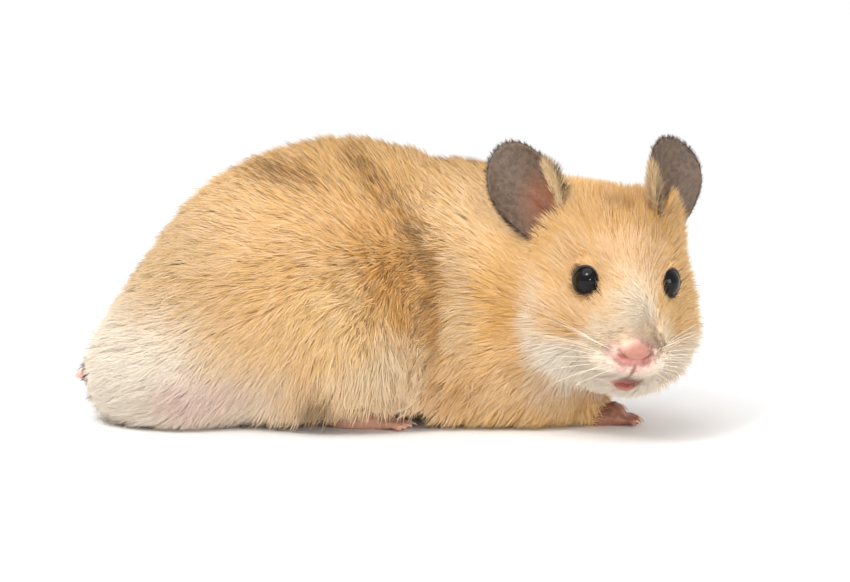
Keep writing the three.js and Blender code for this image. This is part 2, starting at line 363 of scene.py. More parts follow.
HIND = {"pad": (7.5, 2.9, 2.4), "toes": 5, "length": (4.6, 3.2), "fan": 15, "spread": 1.25}
FORE = {"pad": (5.4, 3.0, 2.7), "toes": 4, "length": (3.4, 2.6), "fan": 14, "spread": 1.45, "furred": -2.8}
PAWS = (
    Paw("hindfoot_right", Place((-5.5, -10, 0), (0, 0, -4)), wrist=(-9, -1, 10), **HIND),
    Paw("hindfoot_left", Place((-5.5, 17, 0), (0, 0, 6)), wrist=(-9, 1, 10), **HIND),
    Paw("forepaw_right", Place((44.5, -6, 0), (0, 0, -2)), wrist=(-7, 1, 9), **FORE),
    Paw("forepaw_left", Place((42, 7, 0), (0, 0, 4)), wrist=(-7, 0, 9), **FORE),
)
EARS = (
    Ear(
        Side.RIGHT,
        Place((-3, -12.4, 7.2), (33, -10.4, -17)),
        **{"width": 14.9, "cup": 3.2, "fold": 3.4, "lean": 2.4, "taper": 0.4, "top": 1.0, "sweep": 0.7},
        haired=(0.82, 0.5),
    ),
    Ear(
        Side.LEFT,
        Place((-4.2, 10.8, 6.5), (4.2, -10.4, 44)),
        **{"width": 17.9, "cup": 3.1, "fold": 3.2, "lean": 0.0, "taper": 0.29, "top": 0.83, "sweep": 2.45},
        haired=(1.0, 0.7),
    ),
)
TAIL = Rod(((-54, 0, 12), (-58, 0, 10.8), (-62, 0, 9.8), (-64.6, 0, 9.3)), (2.6, 2.3, 1.6, 0.8))


# ---- how the coat grows


@dataclass(frozen=True)
class Fur:
    """How the coat grows in one place.

    Args:
        depth: how far the skin lies under the tips, in millimetres.
        length: of a lock, in millimetres.
        width: of a lock, in millimetres.
        density: locks for each square millimetre of skin.
        lift: the angle between a lock's root and the skin, in degrees.
        clump: how far the tips of neighbouring locks draw together, from 0 to 1.
    """

    depth: float
    length: float
    width: float
    density: float
    lift: float
    clump: float

    @property
    def row(self) -> np.ndarray:
        """The values as a row of numbers."""
        return np.array([self.depth, self.length, self.width, self.density, self.lift, self.clump])


@dataclass(frozen=True)
class Zone:
    """An ellipsoid of the body or the head where something differs from what is round it."""

    at: Triple
    half: Triple
    place: Place = WHOLE
    soft: float = 0.35
    both: bool = False

    def share(self, points: np.ndarray) -> np.ndarray:
        """How far each point lies in the zone, from 0 to 1.

        Args:
            points: places in the body, in millimetres.
        """
        spots = self.place.into(points)
        if self.both:
            spots[:, 1] = np.abs(spots[:, 1])
        far = np.linalg.norm((spots - self.at) / self.half, axis=1)
        return ease(far, 1 + self.soft, 1 - self.soft)


BASE_FUR = Fur(depth=4.2, length=5.4, width=0.21, density=10.0, lift=52, clump=0.35)
FUR_ZONES: tuple[tuple[Zone, Fur], ...] = (
    (Zone((-4, 2, 58), (42, 20, 17)), Fur(4.6, 6.2, 0.21, 10.5, 56, 0.5)),
    (Zone((-46, -2, 6), (24, 25, 17)), Fur(2.6, 4.2, 0.2, 11, 38, 0.25)),
    (Zone((24, 0, 40), (12, 26, 22)), Fur(4.0, 5.8, 0.23, 10, 42, 0.4)),
    (Zone((0, 1, -8), (80, 50, 15), soft=0.25), Fur(2.0, 4.0, 0.25, 7.5, 40, 0.4)),
    (Zone((-3, -22, 0), (12, 9, 6), soft=0.3), Fur(1.2, 2.9, 0.2, 14, 34, 0.25)),
    (Zone((-61, -3, 11), (5, 8, 5), soft=0.4), Fur(1.5, 2.6, 0.18, 12, 30, 0.2)),
    (Zone((-3, 0, 1), (21, 19, 23), HEAD), Fur(2.8, 3.8, 0.18, 15, 42, 0.3)),
    (Zone((15, 0, 3), (11, 12, 13), HEAD, both=True), Fur(1.5, 2.5, 0.14, 22, 34, 0.2)),
    (Zone((21, 0, -8), (8, 10, 9), HEAD), Fur(1.0, 1.8, 0.12, 28, 30, 0.15)),
    (Zone((16, 0, -16), (10, 9, 6), HEAD, soft=0.3), Fur(1.0, 2.0, 0.13, 24, 32, 0.15)),
    (Zone((10.8, 8.0, 5.0), (4.3, 4.3, 4.4), HEAD, both=True), Fur(0.7, 1.4, 0.11, 28, 26, 0.15)),
    (Zone((25, 0, -4.6), (2.8, 3.2, 3.0), HEAD, soft=0.4), Fur(0.1, 0.6, 0.07, 26, 24, 0.0)),
    (Zone((-4, 11, 10), (5, 6, 8), HEAD, both=True), Fur(1.6, 3.4, 0.17, 15, 48, 0.3)),
)
EAR_FUR = Fur(0.05, 1.4, 0.09, 14, 12, 0.15)
PAW_FUR = Fur(0.05, 1.2, 0.1, 9, 14, 0.2)
TAIL_FUR = Fur(0.1, 0.9, 0.09, 8, 16, 0.1)
FRINGE_FUR = Fur(0.1, 4.0, 0.1, 28, 30, 0.12)
WRIST_FUR = Fur(0.4, 3.4, 0.2, 12, 26, 0.3)
TAIL_ZONE = Zone((-64.0, 0, 9.8), (4.4, 2.7, 2.7), soft=0.1)
BARE_NODES = {"ear": EAR_FUR, "forepaw": PAW_FUR, "hindfoot": PAW_FUR, "tail": TAIL_FUR}


def fur_at(points: np.ndarray, names: np.ndarray) -> np.ndarray:
    """How the coat grows at each point.

    Args:
        points: places in the body, in millimetres.
        names: the solid that each lies nearest to.

    Returns:
        A row of Fur's values for each point.
    """
    rows = np.tile(BASE_FUR.row, (len(points), 1))
    for zone, fur in FUR_ZONES:
        share = zone.share(points)[:, None]
        rows = rows * (1 - share) + fur.row * share
    for start, fur in BARE_NODES.items():
        rows[np.char.startswith(names, start)] = fur.row
    for ear in EARS:
        fringe = ear.fringe(points) * (names == f"ear_{ear.side.word}")
        rows = rows + (FRINGE_FUR.row - rows) * fringe[:, None]
    for paw in PAWS[2:]:
        share = Zone(tuple(paw.place.out((-4.0, 0, 3.5))), (5.0, 5.0, 5.5), soft=0.3).share(points)[:, None]
        rows = rows * (1 - share) + WRIST_FUR.row * share
    return rows


@dataclass(frozen=True)
class Stroke:
    """One stroke of the comb: which way the coat lies about a point of the body."""

    at: Triple
    way: Triple
    reach: float = 9.0


@dataclass(frozen=True)
class Comb:
    """Which way the coat lies. The body's strokes are on its right, and are mirrored to its left."""

    strokes: tuple[Stroke, ...] = (
        Stroke((-49, -6, 36), (-1, 0, -0.15)),
        Stroke((-36, -14, 45), (-1, 0, 0.25)),
        Stroke((-55, -12, 20), (-1, 0, -0.25)),
        Stroke((-60, 0, 20), (-0.3, 0, -1)),
        Stroke((-42, -20, 10), (-1, 0, -0.55)),
        Stroke((-30, -20, 14), (-0.75, 0, -1)),
        Stroke((-28, -17, 6), (-0.4, 0, -1)),
        Stroke((-28, -20, 36), (-1, 0, -0.35)),
        Stroke((-18, -10, 53), (-1, 0.1, 0.55)),
        Stroke((-8, -6, 56), (-0.8, 0.25, 0.8)),
        Stroke((3, -8, 53), (-0.7, 0.2, 0.9)),
        Stroke((-18, -17, 46), (-1, 0, 0.1)),
        Stroke((-4, -19, 40), (-1, 0, 0.05)),
        Stroke((-14, -23, 30), (-0.9, 0, -0.6)),
        Stroke((3, -18, 32), (-0.9, 0, -0.35), 7),
        Stroke((6, -14, 43), (-0.5, 0, 0.5), 6),
        Stroke((8, -15, 27), (-0.5, -0.3, -0.7), 6),
        Stroke((9, -16, 17), (-0.3, -0.2, -1), 6),
        Stroke((-9, -24, 22), (-0.45, 0, -1)),
        Stroke((-1, -22, 12), (-0.15, 0, -1)),
        Stroke((-13, -22, 8), (-0.2, 0, -1)),
        Stroke((3, -20, 22), (-0.45, 0, -1), 6),
        Stroke((14, -15, 36), (-1, 0, 0.15), 7),
        Stroke((15, -17, 22), (-1, 0, -0.05), 7),
        Stroke((14, -18, 11), (-0.5, 0, -0.8), 7),
        Stroke((23, -18, 28), (-1, 0, 0.05), 7),
        Stroke((23, -18, 20), (-1, 0, -0.2), 7),
        Stroke((19, -10, 47), (-1, 0, 0.35), 8),
        Stroke((13, -4, 53), (-1, 0.1, 0.4), 8),
        Stroke((19, -18, 9), (-0.8, 0, -0.6), 7),
        Stroke((23, -15, 4), (-0.5, 0, -0.9), 7),
        Stroke((35, -15, 5), (-0.6, 0, -0.8), 7),
        Stroke((0, 0, 0), (-1, 0, 0), 12),
        Stroke((-40, 0, 2), (-1, 0, 0), 14),
    )
    middle: float = 1.0
    whorl: Triple = (28.0, 0.0, -6.0)
    swirl: float = 0.22

    def on_body(self, points: np.ndarray) -> np.ndarray:
        """The lie over the trunk and the neck."""
        side = np.where(points[:, 1] > self.middle, -1.0, 1.0)
        near = points.copy()
        near[:, 1] = (points[:, 1] - self.middle) * side
        total = np.tile([-0.02, 0.0, -0.005], (len(points), 1))
        for stroke in self.strokes:
            away = np.sum((near - stroke.at) ** 2, axis=1)
            total += np.exp(-away / (2 * stroke.reach**2))[:, None] * unit(np.array(stroke.way))
        total[:, 1] *= side
        return unit(total)

    def on_head(self, points: np.ndarray) -> np.ndarray:
        """The lie over the head: out from the nose, and back."""
        spots = HEAD.into(points)
        way = unit(spots - self.whorl)
        way[:, 2] -= 0.45 * ease(-spots[:, 2], 1, 10) * ease(spots[:, 0], 22, 8)
        return unit(HEAD.aim(way))

    def on_part(self, points: np.ndarray, name: str) -> np.ndarray:
        """The lie over an ear, a paw or the tail."""
        for ear in EARS:
            if name == f"ear_{ear.side.word}":
                own = HEAD.child(ear.place)
                spots = own.into(points)
                inner = -ear.side.value * spots[:, 1]
                across = spots[:, 1] * (1 - ease(inner, 1.0, 5.0))
                across -= ear.side.value * 2.0 * ease(inner, 3.0, 6.0)
                up = np.maximum(spots[:, 2] - 7.0, 1.5)
                way = np.stack([spots[:, 0] * 0.1, across, up], 1)
                return unit(own.aim(way))
        for paw in PAWS:
            if name == paw.name:
                return np.tile(paw.place.aim((1.0, 0.0, -0.1)), (len(points), 1))
        return np.tile([-1.0, 0.0, -0.2], (len(points), 1))

    def lie(self, points: np.ndarray, normals: np.ndarray, names: np.ndarray) -> np.ndarray:
        """Which way the coat lies along the skin.

        Args:
            points: places in the body, in millimetres.
            normals: the skin's normals there.
            names: the solid that each lies nearest to.

        Returns:
            A direction one long for each point, flat to the skin.
        """
        share = Zone((-4, 0, 0), (24, 24, 26), HEAD, soft=0.15).share(points)[:, None]
        way = unit(self.on_body(points) * (1 - share) + self.on_head(points) * share)
        for name in np.unique(names):
            if name.startswith(tuple(BARE_NODES)):
                chosen = names == name
                way[chosen] = self.on_part(points[chosen], str(name))
        turn = self.swirl * np.stack([drift(points, 9.0, 40 + axis) for axis in range(3)], 1)
        return unit(flat_part(way + turn, normals) + 1e-6)


# ---- the skin


@dataclass(frozen=True)
class Eye:
    """One eyeball and the opening of its lids.

    Args:
        side: of the head.
        centre: of the ball, in the body.
        radius: of the ball.
        azimuth: how far it looks to the side, in degrees.
        height: how far it looks up, in degrees.
        opening: from its axis to the lids' edge, in degrees.
        reach: how far from the ball the skin starts to turn into the lids, and is all lid.
        lid_width: where the lids end beyond their edge, and where they are full, in degrees.
        lid_gap: how far the lids stand off the ball.
        lid_dip: the depth of the furrow round them.
        behind: how far the skin lies inside the ball within the opening.
    """

    side: Side
    centre: np.ndarray
    radius: float
    azimuth: float = 43.0
    height: float = 12.0
    opening: float = 55.0
    reach: tuple[float, float] = (4.5, 2.5)
    lid_width: tuple[float, float] = (34.0, 5.0)
    lid_gap: float = 0.42
    lid_dip: float = 0.2
    behind: float = 0.7

    @property
    def axis(self) -> np.ndarray:
        """The way that the eye looks, in the body."""
        across, up = math.radians(self.azimuth), math.radians(self.height)
        level = math.cos(up)
        look = (level * math.cos(across), self.side.value * level * math.sin(across), math.sin(up))
        return HEAD.aim(np.array(look))

    @property
    def rim(self) -> Zone:
        """Where the lids' dark rim is."""
        return Zone(tuple(self.centre + self.axis * self.radius * 0.9), (self.radius,) * 3, soft=0.06)

    def ball(self) -> bpy.types.Object:
        """The eyeball."""
        shape = bmesh.new()
        Bead(tuple(self.centre), (self.radius,) * 3).add_to(shape, WHOLE, 48)
        return from_bmesh(f"eyeball_{self.side.word}", shape)

    def open_lids(self, points: np.ndarray) -> np.ndarray:
        """Draws the skin round the eyeball into lids.

        Args:
            points: the skin's vertices, in millimetres.

        Returns:
            The vertices, those near the eye moved.
        """
        arm = points - self.centre
        far = np.linalg.norm(arm, axis=1)
        way = unit(arm)
        angle = np.degrees(np.arccos(np.clip(way @ self.axis, -1, 1)))
        near = ease(far, self.radius + self.reach[0], self.radius + self.reach[1])
        over = near * ease(angle, self.opening + self.lid_width[0], self.opening + self.lid_width[1])
        dip = self.lid_dip * np.exp(-(((angle - self.opening - 13) / 4.5) ** 2))
        rim = self.radius + self.lid_gap - dip
        far_new = far * (1 - over) + rim * over
        inside = near * ease(angle, self.opening + 1.5, self.opening - 3.5)
        far_new = far_new * (1 - inside) + (self.radius - self.behind) * inside
        return self.centre + way * far_new[:, None]


@dataclass(frozen=True)
class Groove:
    """A groove, or a swelling where its depth is below zero, along points of the head's frame."""

    points: tuple[Triple, ...]
    radius: float
    depth: float

    def pull(self, spots: np.ndarray) -> np.ndarray:
        """How far each point of the head's frame sinks along its normal."""
        nearest = np.full(len(spots), 1e9)
        line = np.array(self.points, float)
        for start, end in zip(line, line[1:]):
            leg = end - start
            along = np.clip((spots - start) @ leg / (leg @ leg), 0, 1)
            nearest = np.minimum(nearest, np.linalg.norm(spots - start - along[:, None] * leg, axis=1))
        return self.depth * np.exp(-((nearest / self.radius) ** 2))


def mirrored(groove: Groove) -> tuple[Groove, Groove]:
    """The groove and its mirror image."""
    other = tuple((x, -y, z) for x, y, z in groove.points)
    return groove, Groove(other, groove.radius, groove.depth)


NOSTRIL = Groove(((25.6, 0.5, -6.7), (25.1, 1.5, -6.2), (24.6, 2.4, -5.7), (23.8, 3.2, -5.2)), 0.42, 0.85)
LIP_LINE = Groove(((22.2, 0, -11.4), (21.6, 1.8, -12.0), (20.4, 3.6, -13.0), (18.4, 5.4, -13.6)), 0.6, 0.9)
NOSE_PAD = Bead((25.4, 0, -6.2), (2.3, 2.3, 1.2))
MOUTH = Bead((21.2, 0, -13.1), (4, 3.3, 1.3))
FACE_GROOVES: tuple[Groove, ...] = (
    *mirrored(Groove(((25.2, 1.5, -4.9), (24.6, 2.3, -4.5)), 1.2, -0.4)),
    *mirrored(Groove(((23.0, 3.4, -9.2), (21.4, 5.4, -9.2), (19.4, 7.2, -8.6)), 2.9, -1.35)),
    *mirrored(Groove(((22.6, 4.8, -5.4), (20.4, 6.8, -5.8)), 3.4, -0.5)),
    *mirrored(NOSTRIL),
    *mirrored(Groove(((25.2, 0.5, -7.9), (24.4, 2.0, -7.8), (23.2, 3.6, -7.0)), 0.6, 0.3)),
    Groove(((25.4, 0, -7.0), (24.2, 0, -9.0), (22.4, 0, -11.2)), 0.45, 0.9),
    *mirrored(LIP_LINE),
    Groove(((21.4, -1.8, -13.2), (21.4, 1.8, -13.2)), 1.2, 1.9),
    Groove(((19.6, -2.0, -16.0), (19.6, 2.0, -16.0)), 2.0, -0.4),
)


def normals_of(points: np.ndarray, triangles: np.ndarray) -> np.ndarray:
    """Each vertex's normal, from its triangles by their area."""
    a, b, c = (points[triangles[:, corner]] for corner in range(3))
    cross = np.cross(b - a, c - a)
    total = np.zeros_like(points)
    for corner in range(3):
        for axis in range(3):
            total[:, axis] += np.bincount(triangles[:, corner], cross[:, axis], len(points))
    return unit(total)


@dataclass
class Smoother:
    """Evens out numbers or places over a mesh's edges."""

    edges: np.ndarray
    count: int
    degree: np.ndarray = field(init=False)

    def __post_init__(self) -> None:
        """Counts each vertex's edges."""
        self.degree = np.maximum(np.bincount(self.edges.ravel(), minlength=self.count), 1)

    def mean(self, values: np.ndarray) -> np.ndarray:
        """The mean of each vertex's neighbours."""
        grid = values.reshape(self.count, -1)
        out = np.empty_like(grid)
        for column in range(grid.shape[1]):
            total = np.bincount(self.edges[:, 0], grid[self.edges[:, 1], column], self.count)
            total += np.bincount(self.edges[:, 1], grid[self.edges[:, 0], column], self.count)
            out[:, column] = total / self.degree
        return out.reshape(values.shape)

    def even(self, values: np.ndarray, passes: int, strength: np.ndarray | float = 0.5) -> np.ndarray:
        """The values, each drawn to its neighbours' mean again and again.

        Args:
            values: a number or a place for each vertex.
            passes: how often.
            strength: how far each time, one number or one for each vertex.
        """
        for _ in range(passes):
            values = values + (self.mean(values) - values) * strength
        return values


def mesh_points(mesh: bpy.types.Mesh) -> np.ndarray:
    """A mesh's vertices, in millimetres."""
    flat = np.empty(len(mesh.vertices) * 3, np.float32)
    mesh.vertices.foreach_get("co", flat)
    return flat.reshape(-1, 3).astype(float) / MM


def set_points(mesh: bpy.types.Mesh, points: np.ndarray) -> None:
    """Writes vertices given in millimetres to a mesh."""
    mesh.vertices.foreach_set("co", (points * MM).astype(np.float32).ravel())
    mesh.update()


def mesh_edges(mesh: bpy.types.Mesh) -> np.ndarray:
    """The two vertices of each of a mesh's edges."""
    flat = np.empty(len(mesh.edges) * 2, np.int32)
    mesh.edges.foreach_get("vertices", flat)
    return flat.reshape(-1, 2)


def mesh_triangles(mesh: bpy.types.Mesh) -> tuple[np.ndarray, np.ndarray]:
    """The vertices and the corners of each of a mesh's triangles."""
    mesh.calc_loop_triangles()
    count = len(mesh.loop_triangles)
    verts, loops = np.empty(count * 3, np.int32), np.empty(count * 3, np.int32)
    mesh.loop_triangles.foreach_get("vertices", verts)
    mesh.loop_triangles.foreach_get("loops", loops)
    return verts.reshape(-1, 3), loops.reshape(-1, 3)


def note(mesh: bpy.types.Mesh, name: str, values: np.ndarray) -> None:
    """Writes a number or a place for each vertex to a mesh, as an attribute."""
    kind, key = ("FLOAT", "value") if values.ndim == 1 else ("FLOAT_VECTOR", "vector")
    data = mesh.attributes.new(name, kind, "POINT").data
    data.foreach_set(key, values.astype(np.float32).ravel())


def new_piece(name: str, mesh: bpy.types.Mesh) -> bpy.types.Object:
    """An object for a mesh, at the origin, in the scene."""
    piece = bpy.data.objects.new(name, mesh)
    bpy.context.scene.collection.objects.link(piece)
    return piece


def from_bmesh(name: str, shape: bmesh.types.BMesh, smooth: bool = True) -> bpy.types.Object:
    """A piece from a bmesh in millimetres, which is freed."""
    bmesh.ops.scale(shape, vec=(MM, MM, MM), verts=shape.verts)
    bmesh.ops.recalc_face_normals(shape, faces=shape.faces)
    for face in shape.faces:
        face.smooth = smooth
    mesh = bpy.data.meshes.new(name)
    shape.to_mesh(mesh)
    shape.free()
    return new_piece(name, mesh)


def finished(piece: bpy.types.Object) -> bpy.types.Object:
    """The piece with its modifiers applied to its mesh."""
    bpy.context.view_layer.update()
    graph = bpy.context.evaluated_depsgraph_get()
    mesh = bpy.data.meshes.new_from_object(piece.evaluated_get(graph))
    old = piece.data
    piece.modifiers.clear()
    piece.data = mesh
    bpy.data.meshes.remove(old)
    return piece


def remeshed(piece: bpy.types.Object, voxel: float) -> bpy.types.Object:
    """The piece as one closed surface of small squares, voxel millimetres across."""
    remesh = piece.modifiers.new("one surface", "REMESH")
    remesh.mode = "VOXEL"
    remesh.voxel_size = voxel * MM
    remesh.use_smooth_shade = True
    return finished(piece)


@dataclass
class Skin:
    """The one skin under the coat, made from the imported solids.

    Args:
        nodes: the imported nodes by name.
        eyes: the two eyes.
    """

    nodes: dict[str, bpy.types.Object]
    eyes: tuple[Eye, ...]
    muzzle: Triple = (21.5, 0, -8)
    lips: Triple = (23.5, 0, -8)
    split_reach: tuple[tuple[float, float], ...] = ((6.8, 10.5), (5.8, 7.2))
    voxel: float = 0.8
    fine_voxel: float = 0.3
    swell: float = 0.4
    steps: int = 14
    settling: int = 8
    piece: bpy.types.Object = field(init=False)
    points: np.ndarray = field(init=False)
    normals: np.ndarray = field(init=False)
    triangles: np.ndarray = field(init=False)
    corners: np.ndarray = field(init=False)
    maps: np.ndarray = field(init=False)
    names: np.ndarray = field(init=False)
    marks: np.ndarray = field(init=False)
    room: np.ndarray = field(init=False)
    shell: BVHTree = field(init=False)
    tree: BVHTree = field(init=False)

    def build(self) -> bpy.types.Object:
        """Casts, sinks, joins, sculpts and unwraps the skin.

        Returns:
            The skin's object.
        """
        self.piece = self.cast()
        self.sink()
        self.join_parts()
        self.refine()
        self.sculpt()
        self.unwrap()
        self.read()
        return self.piece

    def cast(self) -> bpy.types.Object:
        """One surface round all the solids but the ears, paws and tail."""
        whole = bmesh.new()
        for name, node in self.nodes.items():
            if name.startswith(tuple(BARE_NODES)):
                continue
            part = bmesh.new()
            part.from_mesh(node.data)
            bmesh.ops.remove_doubles(part, verts=part.verts, dist=1e-6)
            bmesh.ops.scale(part, vec=(1 / MM, 1 / MM, 1 / MM), verts=part.verts)
            part.normal_update()
            for vert in part.verts:
                vert.co += vert.normal * self.swell
            merge_into(whole, part)
        return remeshed(from_bmesh("skin", whole), self.voxel)

    def sink(self) -> None:
        """Draws the surface in by the coat's depth, evening it as it goes."""
        mesh = self.piece.data
        points = mesh_points(mesh)
        triangles, _ = mesh_triangles(mesh)
        self.shell = BVHTree.FromPolygons(points.tolist(), triangles.tolist())
        smoother = Smoother(mesh_edges(mesh), len(points))
        names = np.full(len(points), "trunk")
        depth = smoother.even(fur_at(points, names)[:, 0], 12)
        points = smoother.even(points, 3, 0.5)
        step = (depth + self.swell) / self.steps
        hold = np.clip(depth / 3.0, 0.08, 0.6)[:, None]
        for _ in range(self.steps):
            points = points - normals_of(points, triangles) * step[:, None]
            points = smoother.even(points, 2, hold)
        for _ in range(self.settling):
            away = np.array([self.shell.find_nearest(point)[3] for point in points.tolist()])
            move = np.clip(away - depth - self.swell, -0.4, 1.2)
            points = points + normals_of(points, triangles) * smoother.even(move, 3)[:, None]
            points = smoother.even(points, 1, 0.35)
        points[:, 2] = np.maximum(points[:, 2], 0.3)
        set_points(mesh, points)

    def join_parts(self) -> None:
        """Joins the ears, paws and tail to the skin."""
        parts = bmesh.new()
        for paw in PAWS:
            paw.add_to(parts)
        TAIL.add_to(parts, WHOLE, 20)
        for vert in parts.verts:
            vert.co.z = max(vert.co.z, 0.0)
        small = remeshed(from_bmesh("paws", parts), self.fine_voxel)
        leaves = bmesh.new()
        for ear in EARS:
            ear.add_to(leaves)
        ears = from_bmesh("ears", leaves)
        for part, passes in ((small, 3), (ears, 0)):
            points = mesh_points(part.data)
            smoother = Smoother(mesh_edges(part.data), len(points))
            points = smoother.even(points, passes)
            points[:, 2] = np.maximum(points[:, 2], 0.0)
            set_points(part.data, points)
            union = self.piece.modifiers.new("join", "BOOLEAN")
            union.operation = "UNION"
            union.solver = "MANIFOLD"
            union.object = part
            finished(self.piece)
            log.info("joined %s: %d faces", part.name, len(self.piece.data.polygons))
            bpy.data.objects.remove(part)

    def refine(self) -> None:
        """Splits the faces round the eyes, the nose and the mouth."""
        shape = bmesh.new()
        shape.from_mesh(self.piece.data)
        for middle, (by_eye, by_mouth) in zip((self.muzzle, self.lips), self.split_reach):
            spots = [(eye.centre * MM, by_eye * MM) for eye in self.eyes]
            spots.append((HEAD.out(middle) * MM, by_mouth * MM))
            edges = [
                edge
                for edge in shape.edges
                if any((edge.verts[0].co - Vector(at)).length < reach for at, reach in spots)
            ]
            bmesh.ops.subdivide_edges(shape, edges=edges, cuts=1, use_grid_fill=True)
        bmesh.ops.triangulate(shape, faces=[face for face in shape.faces if len(face.verts) > 4])
        shape.to_mesh(self.piece.data)
        shape.free()

    def sculpt(self) -> None:
        """Shapes the lids, the nose and the mouth."""
        mesh = self.piece.data
        points = mesh_points(mesh)
        triangles, _ = mesh_triangles(mesh)
        smoother = Smoother(mesh_edges(mesh), len(points))
        face = Zone((19, 0, -3), (9, 14, 15), HEAD, soft=0.1).share(points)
        points = smoother.even(points, 4, (0.5 * face)[:, None])
        spots = HEAD.into(points)
        normals = normals_of(points, triangles)
        sunk = np.sum([groove.pull(spots) for groove in FACE_GROOVES], axis=0)
        points = points - normals * sunk[:, None]
        points = smoother.even(points, 1, (0.3 * face)[:, None])
        # Painted shade: the groove depth is kept as a mask, and the skin is painted darker where it sinks,
        # in the nostrils, the lip line and the mouth.
        note(mesh, "painted_crease_shade", np.clip(sunk, 0, 1))
        for eye in self.eyes:
            points = eye.open_lids(points)
        set_points(mesh, points)
        log.info("sculpted: %d points", len(points))

    def unwrap(self) -> None:
        """Unwraps the skin on its own shape."""
        bpy.context.view_layer.objects.active = self.piece
        self.piece.select_set(True)
        self.piece.data.uv_layers.new(name=BAKE_MAP)
        bpy.ops.object.mode_set(mode="EDIT")
        bpy.ops.mesh.select_all(action="SELECT")
        bpy.ops.uv.smart_project(angle_limit=math.radians(66), island_margin=0.002)
        bpy.ops.object.mode_set(mode="OBJECT")
        self.piece.select_set(False)

    def read(self) -> None:
        """Reads back what the coat needs to know of the skin."""
        mesh = self.piece.data
        self.points = mesh_points(mesh)
        self.triangles, self.corners = mesh_triangles(mesh)
        self.normals = normals_of(self.points, self.triangles)
        self.tree = BVHTree.FromPolygons(self.points.tolist(), self.triangles.tolist())
        flat = np.empty(len(mesh.loops) * 2, np.float32)
        mesh.uv_layers[BAKE_MAP].data.foreach_get("uv", flat)
        self.maps = flat.reshape(-1, 2)
        self.names = self.nearest_nodes(self.points)
        smoother = Smoother(mesh_edges(mesh), len(self.points))
        ear = np.any([leaf.holds(self.points) for leaf in EARS], axis=0)
        paw = np.char.startswith(self.names, "forepaw") | np.char.startswith(self.names, "hindfoot")
        tail = TAIL_ZONE.share(self.points) > 0.5
        self.names[self.names == "tail"] = "trunk"
        self.names[tail] = "tail"
        self.names[ear] = np.where(HEAD.into(self.points[ear])[:, 1] < 0, "ear_right", "ear_left")
        fringe = np.sum([leaf.fringe(self.points) for leaf in EARS], axis=0) * ear
        marks = np.stack([ear, paw * self.ahead(self.points), tail, fringe], 1)
        self.marks = smoother.even(marks.astype(float), 4)
        for number, mark in enumerate(MARKS):
            note(mesh, mark, self.marks[:, number])
        room = np.array([self.shell.find_nearest(point)[3] or 0.0 for point in self.points.tolist()])
        self.room = np.maximum(smoother.even(room, 6) - self.swell, 0.1)

    def ahead(self, points: np.ndarray) -> np.ndarray:
        """Which points lie ahead of the furred wrist of the paw that they are nearest to."""
        found = np.zeros(len(points), bool)
        for paw in PAWS:
            spots = paw.place.into(points)
            near = np.linalg.norm(spots / (14, 7, 8), axis=1) < 1
            found |= near & (spots[:, 0] > paw.furred + 0.4 * spots[:, 2])
        return found

    def nearest_nodes(self, points: np.ndarray) -> np.ndarray:
        """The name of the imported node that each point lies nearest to."""
        shape, owners = bmesh.new(), []
        for name, node in self.nodes.items():
            shape.from_mesh(node.data)
            owners += [name] * (len(shape.faces) - len(owners))
        tree = BVHTree.FromBMesh(shape)
        shape.free()
        return np.array([owners[tree.find_nearest(Vector(p))[2]] for p in points * MM])


# ---- materials


@dataclass(frozen=True)
class Value:
    """A socket of a node tree, or several numbers, with arithmetic."""

    shader: "Shader"
    socket: bpy.types.NodeSocket | None

    def maths(self, operation: str, *others: "Value | float") -> "Value":
        """A Math node of this value and others."""
        return self.shader.node("ShaderNodeMath", {"operation": operation}, [self, *others])

    def __add__(self, other: "Value | float") -> "Value":
        """The sum."""
        return self.maths("ADD", other)

    __radd__ = __add__

    def __sub__(self, other: "Value | float") -> "Value":
        """The difference."""
        return self.maths("SUBTRACT", other)

    def __rsub__(self, other: float) -> "Value":
        """The difference from a number."""
        return self.shader.node("ShaderNodeMath", {"operation": "SUBTRACT"}, [other, self])

    def __mul__(self, other: "Value | float") -> "Value":
        """The product."""
        return self.maths("MULTIPLY", other)

    __rmul__ = __mul__

    def step(self, low: float, high: float) -> "Value":
        """A smooth step from 0 at low to 1 at high."""
        settings = {"interpolation_type": "SMOOTHSTEP"}
        if low <= high:
            return self.shader.node("ShaderNodeMapRange", settings, [self, low, high])
        return 1 - self.shader.node("ShaderNodeMapRange", settings, [self, high, low])


